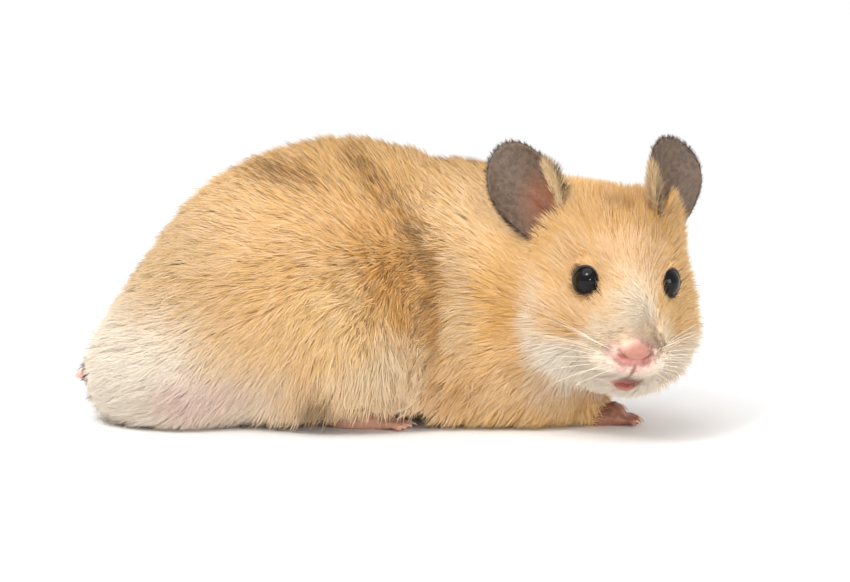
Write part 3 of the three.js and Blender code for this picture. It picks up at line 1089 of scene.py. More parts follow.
@dataclass
class Shader:
    """One material, and the making of its nodes."""

    name: str
    material: bpy.types.Material = field(init=False)

    def __post_init__(self) -> None:
        """Starts an empty node tree."""
        self.material = bpy.data.materials.new(self.name)
        self.material.use_nodes = True
        self.material.node_tree.nodes.clear()

    def node(
        self,
        kind: str,
        settings: dict[str, object] | None = None,
        sockets: dict[str, object] | list[object] | None = None,
        output: str | int = 0,
    ) -> Value:
        """Makes a node.

        Args:
            kind: its type.
            settings: its own properties, set before its sockets.
            sockets: a value or a link for its inputs, by name or in order.
            output: which of its outputs is wanted.

        Returns:
            The wanted output.
        """
        made = self.material.node_tree.nodes.new(kind)
        for key, setting in (settings or {}).items():
            setattr(made, key, setting)
        pairs = sockets.items() if isinstance(sockets, dict) else enumerate(sockets or [])
        for key, value in pairs:
            if isinstance(value, Value):
                self.material.node_tree.links.new(value.socket, made.inputs[key])
            else:
                made.inputs[key].default_value = value
        return Value(self, made.outputs[output] if made.outputs else None)

    def mix(self, share: Value | float, first: object, second: object) -> Value:
        """A colour between two, the second where share is 1."""
        return self.node(
            "ShaderNodeMix", {"data_type": "RGBA"}, {0: share, 6: colour(first), 7: colour(second)}, 2
        )

    def vector(self, operation: str, *parts: object) -> Value:
        """A Vector Math node's vector."""
        return self.node("ShaderNodeVectorMath", {"operation": operation}, list(parts))

    def attribute(self, name: str, output: str = "Fac") -> Value:
        """An attribute of the mesh."""
        return self.node("ShaderNodeAttribute", {"attribute_name": name}, None, output)

    def noise(self, at: Value, scale: float, detail: float = 2.0, output: str = "Fac") -> Value:
        """Noise over places, scale lumps to the metre."""
        sockets = {"Vector": at, "Scale": scale, "Detail": detail}
        return self.node("ShaderNodeTexNoise", None, sockets, output)

    def toned(self, shown: Value, saturation: float, value: float) -> Value:
        """A colour with its saturation and its value multiplied."""
        sockets = {"Saturation": saturation, "Value": value, "Color": shown}
        return self.node("ShaderNodeHueSaturation", None, sockets)

    def finish(self, sockets: dict[str, object]) -> bpy.types.Material:
        """Ends the tree in a Principled shader.

        Args:
            sockets: the shader's inputs by name.

        Returns:
            The material.
        """
        surface = self.node("ShaderNodeBsdfPrincipled", None, sockets)
        self.node("ShaderNodeOutputMaterial", None, {"Surface": surface})
        return self.material


def colour(value: object) -> object:
    """A colour socket's value: a link as it is, or 0 to 255 as seen on screen, made linear."""
    if isinstance(value, Value):
        return value
    parts = [part / 255 for part in value]
    return (*[p / 12.92 if p <= 0.04045 else ((p + 0.055) / 1.055) ** 2.4 for p in parts], 1.0)


# ---- markings, and painted shade and light


@dataclass(frozen=True)
class Patch:
    """A soft-edged ellipsoid of colour: most are markings, and some are painted shade or painted light.

    Args:
        zone: where it is.
        tint: its colour as seen on screen.
        strength: how far it covers what is under it.
    """

    zone: Zone
    tint: Triple
    strength: float = 1.0

    def zone_share(self, paint: "Shader", at: "Value") -> "Value":
        """How far a place is covered, from 0 to 1.

        Args:
            paint: the material that it is for.
            at: the place in the zone's frame, in metres.
        """
        if self.zone.both:
            at = self.both_sides(paint, at)
        away = paint.vector("SUBTRACT", at, Vector(self.zone.at) * MM)
        away = paint.vector("MULTIPLY", away, Vector([1 / (half * MM) for half in self.zone.half]))
        far = paint.node("ShaderNodeVectorMath", {"operation": "LENGTH"}, [away], "Value")
        return far.step(1 + self.zone.soft, 1 - self.zone.soft) * self.strength

    def both_sides(self, paint: "Shader", at: "Value") -> "Value":
        """The place, brought over to the frame's +Y side."""
        parts = [paint.node("ShaderNodeSeparateXYZ", None, [at], axis) for axis in range(3)]
        parts[1] = parts[1].maths("ABSOLUTE")
        return paint.node("ShaderNodeCombineXYZ", None, parts)


GOLD = (244, 194, 126)
# Darker gold: partly the coat's own, partly painted shade in the coat's folds.
DEEP_GOLD_AND_FOLD_SHADE = (190, 134, 72)
CREAM = (252, 236, 214)
WHITE = (238, 222, 200)
NOSE_PINK = (170, 108, 90)
ROSE = (244, 196, 184)
EAR_PINK = (140, 82, 48)
LID = (58, 44, 38)
LIP = (160, 104, 92)
# Painted shade for the grooves of the nose and the mouth.
PAINTED_CREASE_SHADE = (112, 60, 48)
# The forepaws' pink, darkened as painted shade under the chin; the hind feet keep the lighter pink.
FOREPAW_PINK_PAINTED_SHADE = (150, 96, 76)
TAIL_PINK = (240, 186, 166)
HIND_PINK = (206, 156, 132)
SOLE_PINK = (200, 144, 120)
FRINGE_CREAM = (238, 204, 156)
EAR_HAIR_LIGHT = (196, 174, 150)
EAR_HAIR_DARK = (60, 46, 38)
LEAF_DARK = (80, 62, 50)
LEAF_LIGHT = (106, 86, 68)
# Painted shade along the fold inside the ear.
EAR_FOLD_SHADE = (120, 64, 46)
TICK = (96, 70, 42)
EYE_BLACK = (10, 8, 8)
WHISKER_WHITE = (244, 232, 214)
CLAW_HORN = (222, 190, 170)
TONGUE_PINK = (166, 98, 88)

# Folds of the coat where darker gold is painted: partly the coat's own darker gold, partly painted shade in
# the folds.
UPPER_FOLD = Place((-21, -9, 52.4), (0, 9, 0))
BACK_FOLD = Place((-2.2, -8, 50), (0, -38, 0))
SHOULDER_FOLD = Place((7.2, -14, 37), (0, -28, 0))

BODY_PATCHES: tuple[Patch, ...] = (
    Patch(Zone((-56, 0, 34), (26, 42, 18), soft=0.5), (230, 192, 142)),
    Patch(Zone((-2, 0, 58), (34, 26, 14), soft=0.5), (224, 176, 112)),
    Patch(Zone((-10, -22, 40), (20, 12, 10), soft=0.6), (242, 196, 136), 0.8),
    Patch(Zone((1, -20, 31), (7, 12, 12), soft=0.6), (242, 182, 102), 0.85),
    Patch(Zone((-4, -20, 40), (7, 12, 7), soft=0.7), (230, 176, 106), 0.7),
    Patch(Zone((-62, -2, 3), (43, 40, 22), soft=0.35), CREAM),
    Patch(Zone((-38, -21, 5), (10, 7, 6), soft=0.7), ROSE, 0.6),
    Patch(Zone((-31, -24, 17), (9, 9, 8), soft=0.6), (252, 208, 148), 0.7),
    Patch(Zone((0, 0, -8), (36, 40, 17), soft=0.5), (244, 216, 180), 0.8),
    # Darker gold along the folds of the back and where the neck turns: partly the coat's own darker gold,
    # partly painted shade in the folds.
    Patch(Zone((0, 0, 0), (8, 9, 1.5), UPPER_FOLD, soft=0.8), DEEP_GOLD_AND_FOLD_SHADE, 0.5),
    Patch(Zone((0, 0, 0), (1.5, 10, 13), BACK_FOLD, soft=0.8), DEEP_GOLD_AND_FOLD_SHADE, 0.45),
    Patch(Zone((0, 0, 0), (1.7, 10, 8), SHOULDER_FOLD, soft=0.7), (186, 134, 70), 0.8),
    Patch(Zone((9, -16, 21), (2.5, 10, 13), soft=0.6), (188, 134, 70), 0.85),
    Patch(Zone((14.2, -18, 24), (3.2, 12, 17), soft=0.5), (234, 196, 146), 0.95),
    Patch(Zone((22.5, -20, 27.5), (4.4, 12, 8), soft=0.5), (236, 184, 112), 0.95),
    Patch(Zone((19, -12, 47), (14, 12, 8), soft=0.5), (248, 206, 150), 0.8),
    Patch(Zone((28.8, -24, 21), (2.0, 9, 9.5), soft=0.8), CREAM, 0.85),
    Patch(Zone((0, -24, 13), (12, 9, 8), soft=0.6), (255, 228, 188), 0.8),
    # Light gold on the haunch: partly its own colour, partly painted light that lifts its shade.
    Patch(Zone((-11, -25, 23), (10, 9, 9), soft=0.6), (255, 212, 148), 1.0),
    # Painted shadow: dark brown in the gap between the haunch and the hind foot, by the floor.
    Patch(Zone((-14.5, -20, 2), (3.4, 8, 6), soft=0.6), (140, 108, 76), 0.75),
    Patch(Zone((9, -2, 57), (10, 14, 6.5), soft=0.6), (226, 180, 120), 0.7),
    Patch(Zone((14, -18, 8), (5, 9, 6), soft=0.6), (226, 172, 108), 0.7),
    Patch(Zone((42, -30, 5), (19, 16, 11), soft=0.35), (244, 230, 212), 0.95),
    Patch(Zone((28, -8, 0), (20, 13, 7), soft=0.5), GOLD, 0.8),
)
HEAD_PATCHES: tuple[Patch, ...] = (
    Patch(Zone((3, 0, 19), (10, 14, 7), HEAD, soft=0.5), (218, 168, 104), 0.9),
    Patch(Zone((15, 0, 13), (7, 9, 6), HEAD, soft=0.6), (238, 194, 144), 0.9),
    Patch(Zone((3.0, -1.5, 20.5), (2.4, 3.0, 2.4), HEAD, soft=0.8), (150, 106, 66), 0.85),
    Patch(Zone((8, -13, 10), (6, 5, 6), HEAD, soft=0.6), (232, 190, 140), 0.7),
    Patch(Zone((13, -12.5, -1.2), (7.6, 8, 4.6), HEAD, soft=0.35), (238, 194, 140), 0.95),
    Patch(Zone((12, 14, 0), (9, 6, 6), HEAD, soft=0.5), (240, 196, 134), 0.9),
    Patch(Zone((13, 13, -12), (9, 8, 6), HEAD, soft=0.4), (236, 218, 194), 0.9),
    # White lower cheek: partly its own colour, partly painted light that lifts the shade under it.
    Patch(Zone((14, -13, -12), (8, 8, 4.5), HEAD, soft=0.5), (255, 242, 222), 0.95),
    Patch(Zone((20, 0, 2), (7, 4.6, 7.5), HEAD, soft=0.6), (255, 236, 208), 0.95),
    Patch(Zone((19, 0, -11), (11, 14, 8), HEAD, soft=0.3), WHITE, 0.95),
    Patch(Zone((20.5, 7.4, -3.4), (4.4, 4, 4.6), HEAD, soft=0.5, both=True), (250, 226, 192), 0.85),
    Patch(Zone((22, 4, -1.6), (4, 3.0, 2.6), HEAD, soft=0.7, both=True), (250, 220, 184), 0.6),
    Patch(Zone((25, 0, -6.0), (4.6, 5.6, 4.4), HEAD, soft=0.5), ROSE, 0.85),
    Patch(Zone((25.4, 0, -4.9), (2.5, 3.2, 2.1), HEAD, soft=0.5), NOSE_PINK, 0.9),
    # Painted shade: darker pink round and under the nostrils, and darker red-brown in them.
    Patch(Zone((24.8, 2.0, -6.9), (1.8, 2.2, 1.1), HEAD, soft=0.6, both=True), (182, 102, 96), 0.7),
    Patch(Zone((24.6, 2.4, -5.8), (1.3, 1.3, 0.5), HEAD, soft=0.6, both=True), (150, 72, 62), 0.8),
    Patch(Zone((20.8, -0.4, -13.2), (3.8, 3.5, 1.4), HEAD, soft=0.35), LIP, 0.95),
    # Painted shade in the cleft of the upper lip.
    Patch(Zone((23.4, 0, -9.6), (2.6, 0.45, 2.6), HEAD, soft=0.6), (140, 92, 76), 0.85),
)


@dataclass(frozen=True)
class MarkingsAndPaintedShading:
    """The colours that the skin and the coat share: markings, with painted shade and painted light in
    places.

    Args:
        eyes: whose lids are dark.
        wander: how far the markings' edges wander, in millimetres.
    """

    eyes: tuple[Eye, ...]
    wander: float = 8.0

    def colours(self, paint: Shader, at: Value) -> Value:
        """The animal's colour at a place.

        Args:
            paint: the material that it is for.
            at: the place, in metres.

        Returns:
            The colour.
        """
        rough = paint.vector("SUBTRACT", paint.noise(at, 240.0, 3.0, "Color"), (0.5, 0.5, 0.5))
        body = paint.vector("MULTIPLY_ADD", rough, (self.wander * MM,) * 3, at)
        small = paint.vector("MULTIPLY_ADD", rough, (0.25 * self.wander * MM,) * 3, at)
        shown = paint.mix(paint.noise(at, 60.0).step(0.35, 0.7), GOLD, (248, 202, 142))
        for patch in BODY_PATCHES:
            place = patch.zone.place
            near = body if place == WHOLE else self.in_place(paint, body, place)
            shown = paint.mix(patch.zone_share(paint, near), shown, patch.tint)
        head = self.in_place(paint, body, HEAD)
        face = self.in_place(paint, small, HEAD)
        for patch in HEAD_PATCHES:
            near = face if min(patch.zone.half) < 3.0 else head
            shown = paint.mix(patch.zone_share(paint, near), shown, patch.tint)
        shown = self.ear_colours(paint, at, shown)
        # Forepaws get the darker pink: painted shade under the chin.
        ahead = paint.node("ShaderNodeSeparateXYZ", None, [at]).step(0.02, 0.03)
        foot = paint.mix(ahead, HIND_PINK, FOREPAW_PINK_PAINTED_SHADE)
        foot = paint.mix(paint.noise(at, 500.0).step(0.4, 0.7) * 0.5, foot, SOLE_PINK)
        shown = paint.mix(paint.attribute("paw").step(0.2, 0.8), shown, foot)
        shown = paint.mix(paint.attribute("tail").step(0.2, 0.8), shown, TAIL_PINK)
        for eye in self.eyes:
            shown = paint.mix(Patch(eye.rim, LID).zone_share(paint, at), shown, LID)
        return shown

    def in_place(self, paint: Shader, at: Value, place: Place) -> Value:
        """A place of the body, in a turned frame."""
        turn = Matrix(place.axes.T.tolist()).to_euler()
        moved = paint.vector("SUBTRACT", at, Vector(place.at) * MM)
        sockets = {0: moved, "Rotation": turn}
        return paint.node("ShaderNodeVectorRotate", {"rotation_type": "EULER_XYZ"}, sockets)

    def ear_colours(self, paint: Shader, at: Value, shown: Value) -> Value:
        """The animal's colour, with its ears dark and pink inside."""
        leaf = paint.mix(paint.noise(at, 900.0, 3.0).step(0.3, 0.7), LEAF_DARK, LEAF_LIGHT)
        for ear in EARS:
            place = HEAD.child(ear.place)
            own = self.in_place(paint, at, place)
            inner = -ear.side.value
            pink = Patch(Zone((2.6, 2.0 * inner, 7.0), (5.0, 4.4, 7.5), soft=0.6), EAR_PINK, 0.85)
            leaf = paint.mix(pink.zone_share(paint, own), leaf, pink.tint)
            # Painted shade: darker along the fold inside the leaf.
            fold = Patch(Zone((3.0, 1.6 * inner, 7.5), (4.0, 0.7, 4.5), soft=0.7), EAR_FOLD_SHADE, 0.6)
            leaf = paint.mix(fold.zone_share(paint, own), leaf, fold.tint)
        return paint.mix(paint.attribute("ear").step(0.15, 0.75), shown, leaf)

    def hide(self) -> bpy.types.Material:
        """The skin's material."""
        paint = Shader("skin")
        at = paint.node("ShaderNodeTexCoord", None, None, "Object")
        shown = self.colours(paint, at)
        grain = paint.noise(at, 2600.0, 3.0)
        bump = paint.node("ShaderNodeBump", None, {"Strength": 0.35, "Distance": 0.0003, "Height": grain})
        # Painted shade: darker where the skin sinks into the grooves.
        shown = paint.mix(paint.attribute("painted_crease_shade").step(0.15, 0.8) * 0.75, shown, PAINTED_CREASE_SHADE)
        return paint.finish({"Base Color": shown, "Roughness": 0.5, "Normal": bump})

    def fur(self) -> bpy.types.Material:
        """The coat's material."""
        paint = Shader("coat")
        at = paint.attribute("shown_at", "Vector")
        along, tone, chance = (paint.attribute(name) for name in ("along", "tone", "chance"))
        shown = self.colours(paint, at)
        dark = paint.toned(shown, 1.12, 0.84)
        light = paint.toned(shown, 0.7, 1.12)
        shown = paint.mix(tone.step(0.0, 0.45) * 0.8 + 0.2, dark, shown)
        shown = paint.mix(tone.step(0.5, 1.0) * along.step(0.1, 1.0) * 0.8, shown, light)
        ear = paint.attribute("ear").step(0.15, 0.75)
        fringe = paint.attribute("fringe")
        shown = paint.mix(ear * tone.step(0.5, 0.8) * 0.75, shown, EAR_HAIR_LIGHT)
        shown = paint.mix(ear * tone.step(0.4, 0.15) * 0.6, shown, EAR_HAIR_DARK)
        cream = ear * fringe.step(0.1, 0.5) * (tone.step(0.0, 0.5) * 0.4 + 0.55)
        shown = paint.mix(cream, shown, FRINGE_CREAM)
        ticked = 0.0
        for zone, share in TICKED:
            near = at if zone.place == WHOLE else self.in_place(paint, at, zone.place)
            ticked = Patch(zone, GOLD, share).zone_share(paint, near) + ticked
        ticks = (chance - 1.0 + ticked).step(0.0, 0.05) * along.step(0.45, 0.75)
        shown = paint.mix(ticks * 0.8, shown, TICK)
        return paint.finish({"Base Color": shown, "Roughness": 0.55, "Specular IOR Level": 0.3})


TICKED = (
    (Zone((20.5, -7.4, -5.5), (4, 3.4, 3), HEAD, soft=0.6), 0.2),
    (Zone((-14, 0, 62), (50, 26, 20), soft=0.5), 0.16),
    (Zone((0, 0, 0), (9, 9, 2.6), UPPER_FOLD, soft=0.7), 0.5),
    (Zone((0, 0, 0), (3, 10, 14), BACK_FOLD, soft=0.6), 0.45),
    (Zone((7, -16, 36), (5, 10, 20), soft=0.6), 0.35),
    (Zone((22, 5, -3.6), (4, 3.4, 3), HEAD, soft=0.6, both=True), 0.3),
)


# ---- the coat


@dataclass
class Locks:
    """Many locks as arrays, one row for each."""

    roots: np.ndarray
    normals: np.ndarray
    ways: np.ndarray
    maps: np.ndarray
    marks: np.ndarray
    fur: np.ndarray
    room: np.ndarray
    names: np.ndarray

    def pick(self, chosen: np.ndarray) -> "Locks":
        """Only the chosen locks."""
        return Locks(*(getattr(self, key)[chosen] for key in self.__dataclass_fields__))


@dataclass
class Spikes:
    """Closed three-sided spikes, as the arrays of a mesh."""

    points: list[np.ndarray] = field(default_factory=list)
    normals: list[np.ndarray] = field(default_factory=list)
    along: list[np.ndarray] = field(default_factory=list)
    owners: list[np.ndarray] = field(default_factory=list)
    corners: list[np.ndarray] = field(default_factory=list)
    sizes: list[np.ndarray] = field(default_factory=list)
    spots: list[np.ndarray] = field(default_factory=list)
    total: int = 0

    def add(
        self,
        owners: np.ndarray,
        rings: list[np.ndarray],
        thick: list[np.ndarray],
        side: np.ndarray,
        facing: np.ndarray,
    ) -> None:
        """Adds one spike for each owner.

        Args:
            owners: the lock that each spike is.
            rings: the middles of its rings, the last its tip.
            thick: its half width at each ring but the tip.
            side: the way across it.
            facing: the skin's normal at it.
        """
        segments, count = len(rings) - 1, len(owners)
        per = 3 * segments + 1
        points, normals = np.empty((2, count, per, 3))
        along = np.ones((count, per))
        for ring in range(segments):
            up = unit(np.cross(unit(rings[ring + 1] - rings[ring]), side))
            up *= np.sign(np.sum(up * facing, axis=1))[:, None]
            for corner in range(3):
                angle = math.tau * corner / 3 + math.pi / 2
                out = side * math.cos(angle) + up * math.sin(angle)
                points[:, ring * 3 + corner] = rings[ring] + out * thick[ring][:, None]
                normals[:, ring * 3 + corner] = unit(out * 0.4 + facing)
            along[:, ring * 3 : ring * 3 + 3] = ring / segments
        points[:, -1], normals[:, -1] = rings[-1], facing
        faces, patch = self.pattern(segments)
        loops = np.concatenate(faces)
        self.points.append(points.reshape(-1, 3))
        self.normals.append(normals.reshape(-1, 3))
        self.along.append(along.ravel())
        self.owners.append(np.repeat(owners, per))
        starts = self.total + per * np.arange(count)[:, None]
        self.corners.append((loops[None] + starts).ravel())
        self.sizes.append(np.tile([len(face) for face in faces], count))
        self.spots.append(np.tile(patch, (count, 1)))
        self.total += per * count

    def pattern(self, segments: int) -> tuple[list[list[int]], np.ndarray]:
        """The faces of one spike, and where each corner lies in its patch of the map, from 0 to 1."""
        faces, patch = [[2, 1, 0]], [(0.1, 0.0), (0.9, 0.0), (0.5, 0.1)]
        for ring in range(segments):
            low, high = 0.12 + 0.88 * ring / segments, 0.12 + 0.88 * (ring + 1) / segments
            for corner in range(3):
                after = (corner + 1) % 3
                left, right = corner / 3, (corner + 1) / 3
                face, patch = [ring * 3 + corner, ring * 3 + after], patch + [(left, low), (right, low)]
                if ring < segments - 1:
                    faces.append(face + [ring * 3 + 3 + after, ring * 3 + 3 + corner])
                    patch = patch + [(right, high), (left, high)]
                else:
                    faces.append(face + [ring * 3 + 3])
                    patch = patch + [((left + right) / 2, high)]
        return faces, np.array(patch)

    def build(self, name: str, locks: Locks, rng: np.random.Generator) -> bpy.types.Object:
        """Writes the spikes to a mesh with their map, soft normals and attributes.

        Args:
            name: of the piece.
            locks: what the spikes' owners are rows of.
            rng: where their tones come from.

        Returns:
            The piece.
        """
        points = np.concatenate(self.points)
        points[:, 2] = np.maximum(points[:, 2], 0.04)
        corners, sizes = np.concatenate(self.corners), np.concatenate(self.sizes)
        owners = np.concatenate(self.owners)
        mesh = bpy.data.meshes.new(name)
        mesh.vertices.add(len(points))
        mesh.vertices.foreach_set("co", (points * MM).astype(np.float32).ravel())
        mesh.loops.add(len(corners))
        mesh.loops.foreach_set("vertex_index", corners.astype(np.int32))
        mesh.polygons.add(len(sizes))
        mesh.polygons.foreach_set("loop_start", (np.cumsum(sizes) - sizes).astype(np.int32))
        mesh.polygons.foreach_set("use_smooth", np.ones(len(sizes), bool))
        mesh.update(calc_edges=True)
        layer = mesh.uv_layers.new(name=BAKE_MAP)
        spots = locks.maps[owners[corners]] + (np.concatenate(self.spots) - 0.5) * PATCH
        layer.data.foreach_set("uv", spots.astype(np.float32).ravel())
        note(mesh, "shown_at", locks.roots[owners] * MM)
        note(mesh, "along", np.concatenate(self.along))
        for number, mark in enumerate(MARKS):
            note(mesh, mark, locks.marks[owners, number])
        for tone in ("tone", "chance"):
            note(mesh, tone, rng.random(len(locks.roots))[owners])
        mesh.normals_split_custom_set_from_vertices(np.concatenate(self.normals).astype(np.float32))
        return new_piece(name, mesh)


@dataclass
class Coat:
    """The coat: closed, three-sided spikes rooted in the skin, drawn into clumps.

    Args:
        skin: what it grows on.
        comb: which way it lies.
        eyes: what it leaves bare.
        most: a piece's most triangles.
        sunk: how far the roots lie under the skin.
        fill: how much of the room over the skin the locks fill.
        tip_share: a lock's lift at its tip, as a share of that at its root.
        clump_size: of the clumps in long fur.
        bent_share: how many locks have a bend.
        shown: how far along a lock its colour is read.
        bare_face: where the face has no fur, in the head's frame.
        clump_turn: how far clumps turn from the lie, in degrees.
        own_turn: how far each lock does, in degrees.
        lift_spread: how far clumps and locks differ in lift, in degrees.
        steepest: the most lift, in degrees.
        sway: how far locks curve sideways.
        longest_draw: how far a tip may be drawn to its clump.
        straight_below: the length under which locks have no bend.
        rump_x: where the rump's pieces end.
        neck_x: where the neck's pieces start.
        upper_z: where the upper pieces start.
        muzzle_x: where the muzzle's piece starts, in the head's frame.
    """

    skin: Skin
    comb: Comb
    eyes: tuple[Eye, ...]
    most: int = 190_000
    sunk: float = 0.35
    fill: float = 0.9
    tip_share: float = 0.6
    clump_size: float = 1.7
    bent_share: float = 0.4
    shown: float = 0.7
    bare_face: tuple[Bead, ...] = (NOSE_PAD, MOUTH)
    clump_turn: float = 11.0
    own_turn: float = 9.0
    lift_spread: float = 6.0
    steepest: float = 78.0
    sway: float = 0.12
    longest_draw: float = 1.5
    straight_below: float = 2.2
    rump_x: float = -22.0
    neck_x: float = 12.0
    upper_z: float = 27.0
    muzzle_x: float = 13.0
    rng: np.random.Generator = field(default_factory=lambda: np.random.default_rng(SEED))

    def build(self, material: bpy.types.Material) -> list[bpy.types.Object]:
        """Grows every lock, and joins them into pieces by where they are.

        Args:
            material: of the coat.

        Returns:
            The pieces.
        """
        pieces = []
        for name, part in self.parts(self.sow()):
            piece = self.grow(name, part)
            piece.data.materials.append(material)
            log.info("%s: %d locks, %d loops", name, len(part.roots), len(piece.data.loops))
            pieces.append(piece)
        return pieces

    def sow(self) -> Locks:
        """Sets roots over the skin, by each place's density."""
        skin = self.skin
        corners = skin.points[skin.triangles]
        names = skin.names[skin.triangles[:, 0]]
        cross = np.cross(corners[:, 1] - corners[:, 0], corners[:, 2] - corners[:, 0])
        area = np.linalg.norm(cross, axis=1) / 2
        want = np.cumsum(area * fur_at(corners.mean(1), names)[:, 3])
        count = int(want[-1])
        marks = (np.arange(count) + self.rng.random(count)) * want[-1] / count
        chosen = np.searchsorted(want, marks)
        u, v = self.rng.random((2, count))
        flip = u + v > 1
        u[flip], v[flip] = 1 - u[flip], 1 - v[flip]
        shares = np.stack([1 - u - v, u, v], 1)[:, :, None]
        triangles = skin.triangles[chosen]
        roots = (skin.points[triangles] * shares).sum(1)
        normals = unit((skin.normals[triangles] * shares).sum(1))
        names = names[chosen]
        locks = Locks(
            roots,
            normals,
            self.comb.lie(roots, normals, names),
            (skin.maps[skin.corners[chosen]] * shares).sum(1),
            (skin.marks[triangles] * shares).sum(1),
            fur_at(roots, names),
            (skin.room[triangles] * shares[:, :, 0]).sum(1),
            names,
        )
        return locks.pick(self.grows(locks))

    def grows(self, locks: Locks) -> np.ndarray:
        """Which roots lie where fur grows: not on the nose, in the mouth, on the lids or under a paw."""
        keep = np.ones(len(locks.roots), bool)
        for eye in self.eyes:
            keep &= np.linalg.norm(locks.roots - eye.rim.at, axis=1) > eye.radius * 0.98
        spots = HEAD.into(locks.roots)
        slit = np.max([groove.pull(spots) for groove in FACE_GROOVES if groove.radius < 0.5], axis=0)
        keep &= slit < 0.35
        for bead in self.bare_face:
            keep &= np.linalg.norm((spots - bead.at) / bead.half, axis=1) > 1
        sole = locks.marks[:, 1] > 0.5
        keep &= ~(sole & ((locks.normals[:, 2] < 0.15) | (locks.roots[:, 2] < 0.9)))
        keep &= ~((locks.roots[:, 2] < 0.5) & (locks.normals[:, 2] < -0.7))
        return keep

    def parts(self, locks: Locks) -> list[tuple[str, Locks]]:
        """The locks by where they are, in parts that are small enough to be a piece."""
        x, z = locks.roots[:, 0], locks.roots[:, 2]
        head = np.isin(locks.names, ("head", "lower_jaw", "nose", "tongue", "eye_right", "eye_left"))
        bare = locks.marks[:, :3].max(1) > 0.5
        head &= ~bare
        muzzle = head & (HEAD.into(locks.roots)[:, 0] > self.muzzle_x)
        right = locks.roots[:, 1] < 1
        body = ~head & ~bare
        rump, neck, upper = x < self.rump_x, x >= self.neck_x, z > self.upper_z
        groups = {
            "fur_muzzle": muzzle,
            "fur_head": head & ~muzzle,
            "fur_ears_paws_tail": bare,
            "fur_rump_upper": body & rump & upper,
            "fur_rump_lower": body & rump & ~upper,
            "fur_flank_right": body & ~rump & ~neck & ~upper & right,
            "fur_flank_left": body & ~rump & ~neck & ~upper & ~right,
            "fur_back": body & ~rump & ~neck & upper,
            "fur_neck": body & neck,
        }
        found = []
        for name, group in groups.items():
            index = np.flatnonzero(group)
            pieces = max(math.ceil(len(index) * (4 + 6 * self.bent_share) / self.most), 1)
            order = index[np.argsort(x[index], kind="stable")]
            for number, share in enumerate(np.array_split(order, pieces)):
                found.append((f"{name}_{number + 1}" if pieces > 1 else name, locks.pick(share)))
        return found

    def grow(self, name: str, locks: Locks) -> bpy.types.Object:
        """One piece of coat."""
        count = len(locks.roots)
        _, length, width, _, lift, clump = locks.fur.T
        guide = self.guides(locks)
        mood, own = self.rng.normal(size=(count, 3))[guide], self.rng.normal(size=(count, 3))
        turn = np.radians(self.clump_turn * mood[:, 0] + self.own_turn * own[:, 0])
        spread = self.lift_spread * mood[:, 1] + self.lift_spread * own[:, 1]
        lift = np.radians(np.clip(lift + spread, 5, self.steepest))
        way = locks.ways * np.cos(turn)[:, None]
        way += np.cross(locks.normals, locks.ways) * np.sin(turn)[:, None]
        side = np.cross(locks.normals, way)
        sway = self.rng.normal(size=count) * self.sway
        angles = [lift * (1 - share * (1 - self.tip_share)) for share in (0.25, 0.75)]
        rise = (np.sin(angles[0]) + np.sin(angles[1])) / 2
        reach = np.clip((self.fill * locks.room + self.sunk) / rise, length * 0.5, length * 1.6)
        bare = locks.marks[:, :3].max(1) > 0.5
        reach = np.where(bare, length, reach)
        reach *= np.clip(1 + 0.07 * mood[:, 2] + 0.11 * own[:, 2], 0.5, 1.25)
        rings = [locks.roots - locks.normals * self.sunk]
        for angle, bend in zip(angles, (0.25, 0.75)):
            aim = way * np.cos(angle)[:, None] + locks.normals * np.sin(angle)[:, None]
            aim = unit(aim + side * (sway * bend)[:, None])
            rings.append(rings[-1] + aim * (reach / 2)[:, None])
        draw = flat_part(rings[2][guide] - rings[2], locks.normals)
        draw *= np.minimum(1, self.longest_draw / np.maximum(np.linalg.norm(draw, axis=1), 1e-6))[:, None]
        rings[1] = rings[1] + draw * (clump * 0.3)[:, None]
        rings[2] = rings[2] + draw * clump[:, None]
        bent = (self.rng.random(count) < self.bent_share) & (length > self.straight_below)
        spikes = Spikes()
        half = width / 2
        for chosen, kept, thick in ((bent, (0, 1, 2), (1.0, 0.95)), (~bent, (0, 2), (1.3,))):
            index = np.flatnonzero(chosen)
            shape = [rings[ring][index] for ring in kept]
            widths = [half[index] * share for share in thick]
            spikes.add(index, shape, widths, side[index], locks.normals[index])
        locks.roots = rings[0] + (rings[2] - rings[0]) * self.shown
        return spikes.build(name, locks, self.rng)

    def guides(self, locks: Locks) -> np.ndarray:
        """For each lock, the lock whose tip its own is drawn to."""
        scale = float(np.clip(np.median(locks.fur[:, 1]) / 6.5, 0.35, 1.0))
        each = max(np.median(locks.fur[:, 3]) * (self.clump_size * scale) ** 2, 1.0)
        leaders = self.rng.permutation(len(locks.roots))[: max(int(len(locks.roots) / each), 1)]
        tree = kdtree.KDTree(len(leaders))
        for number in leaders:
            tree.insert(locks.roots[number], int(number))
        tree.balance()
        return np.array([tree.find(root)[1] for root in locks.roots])


# ---- small pieces


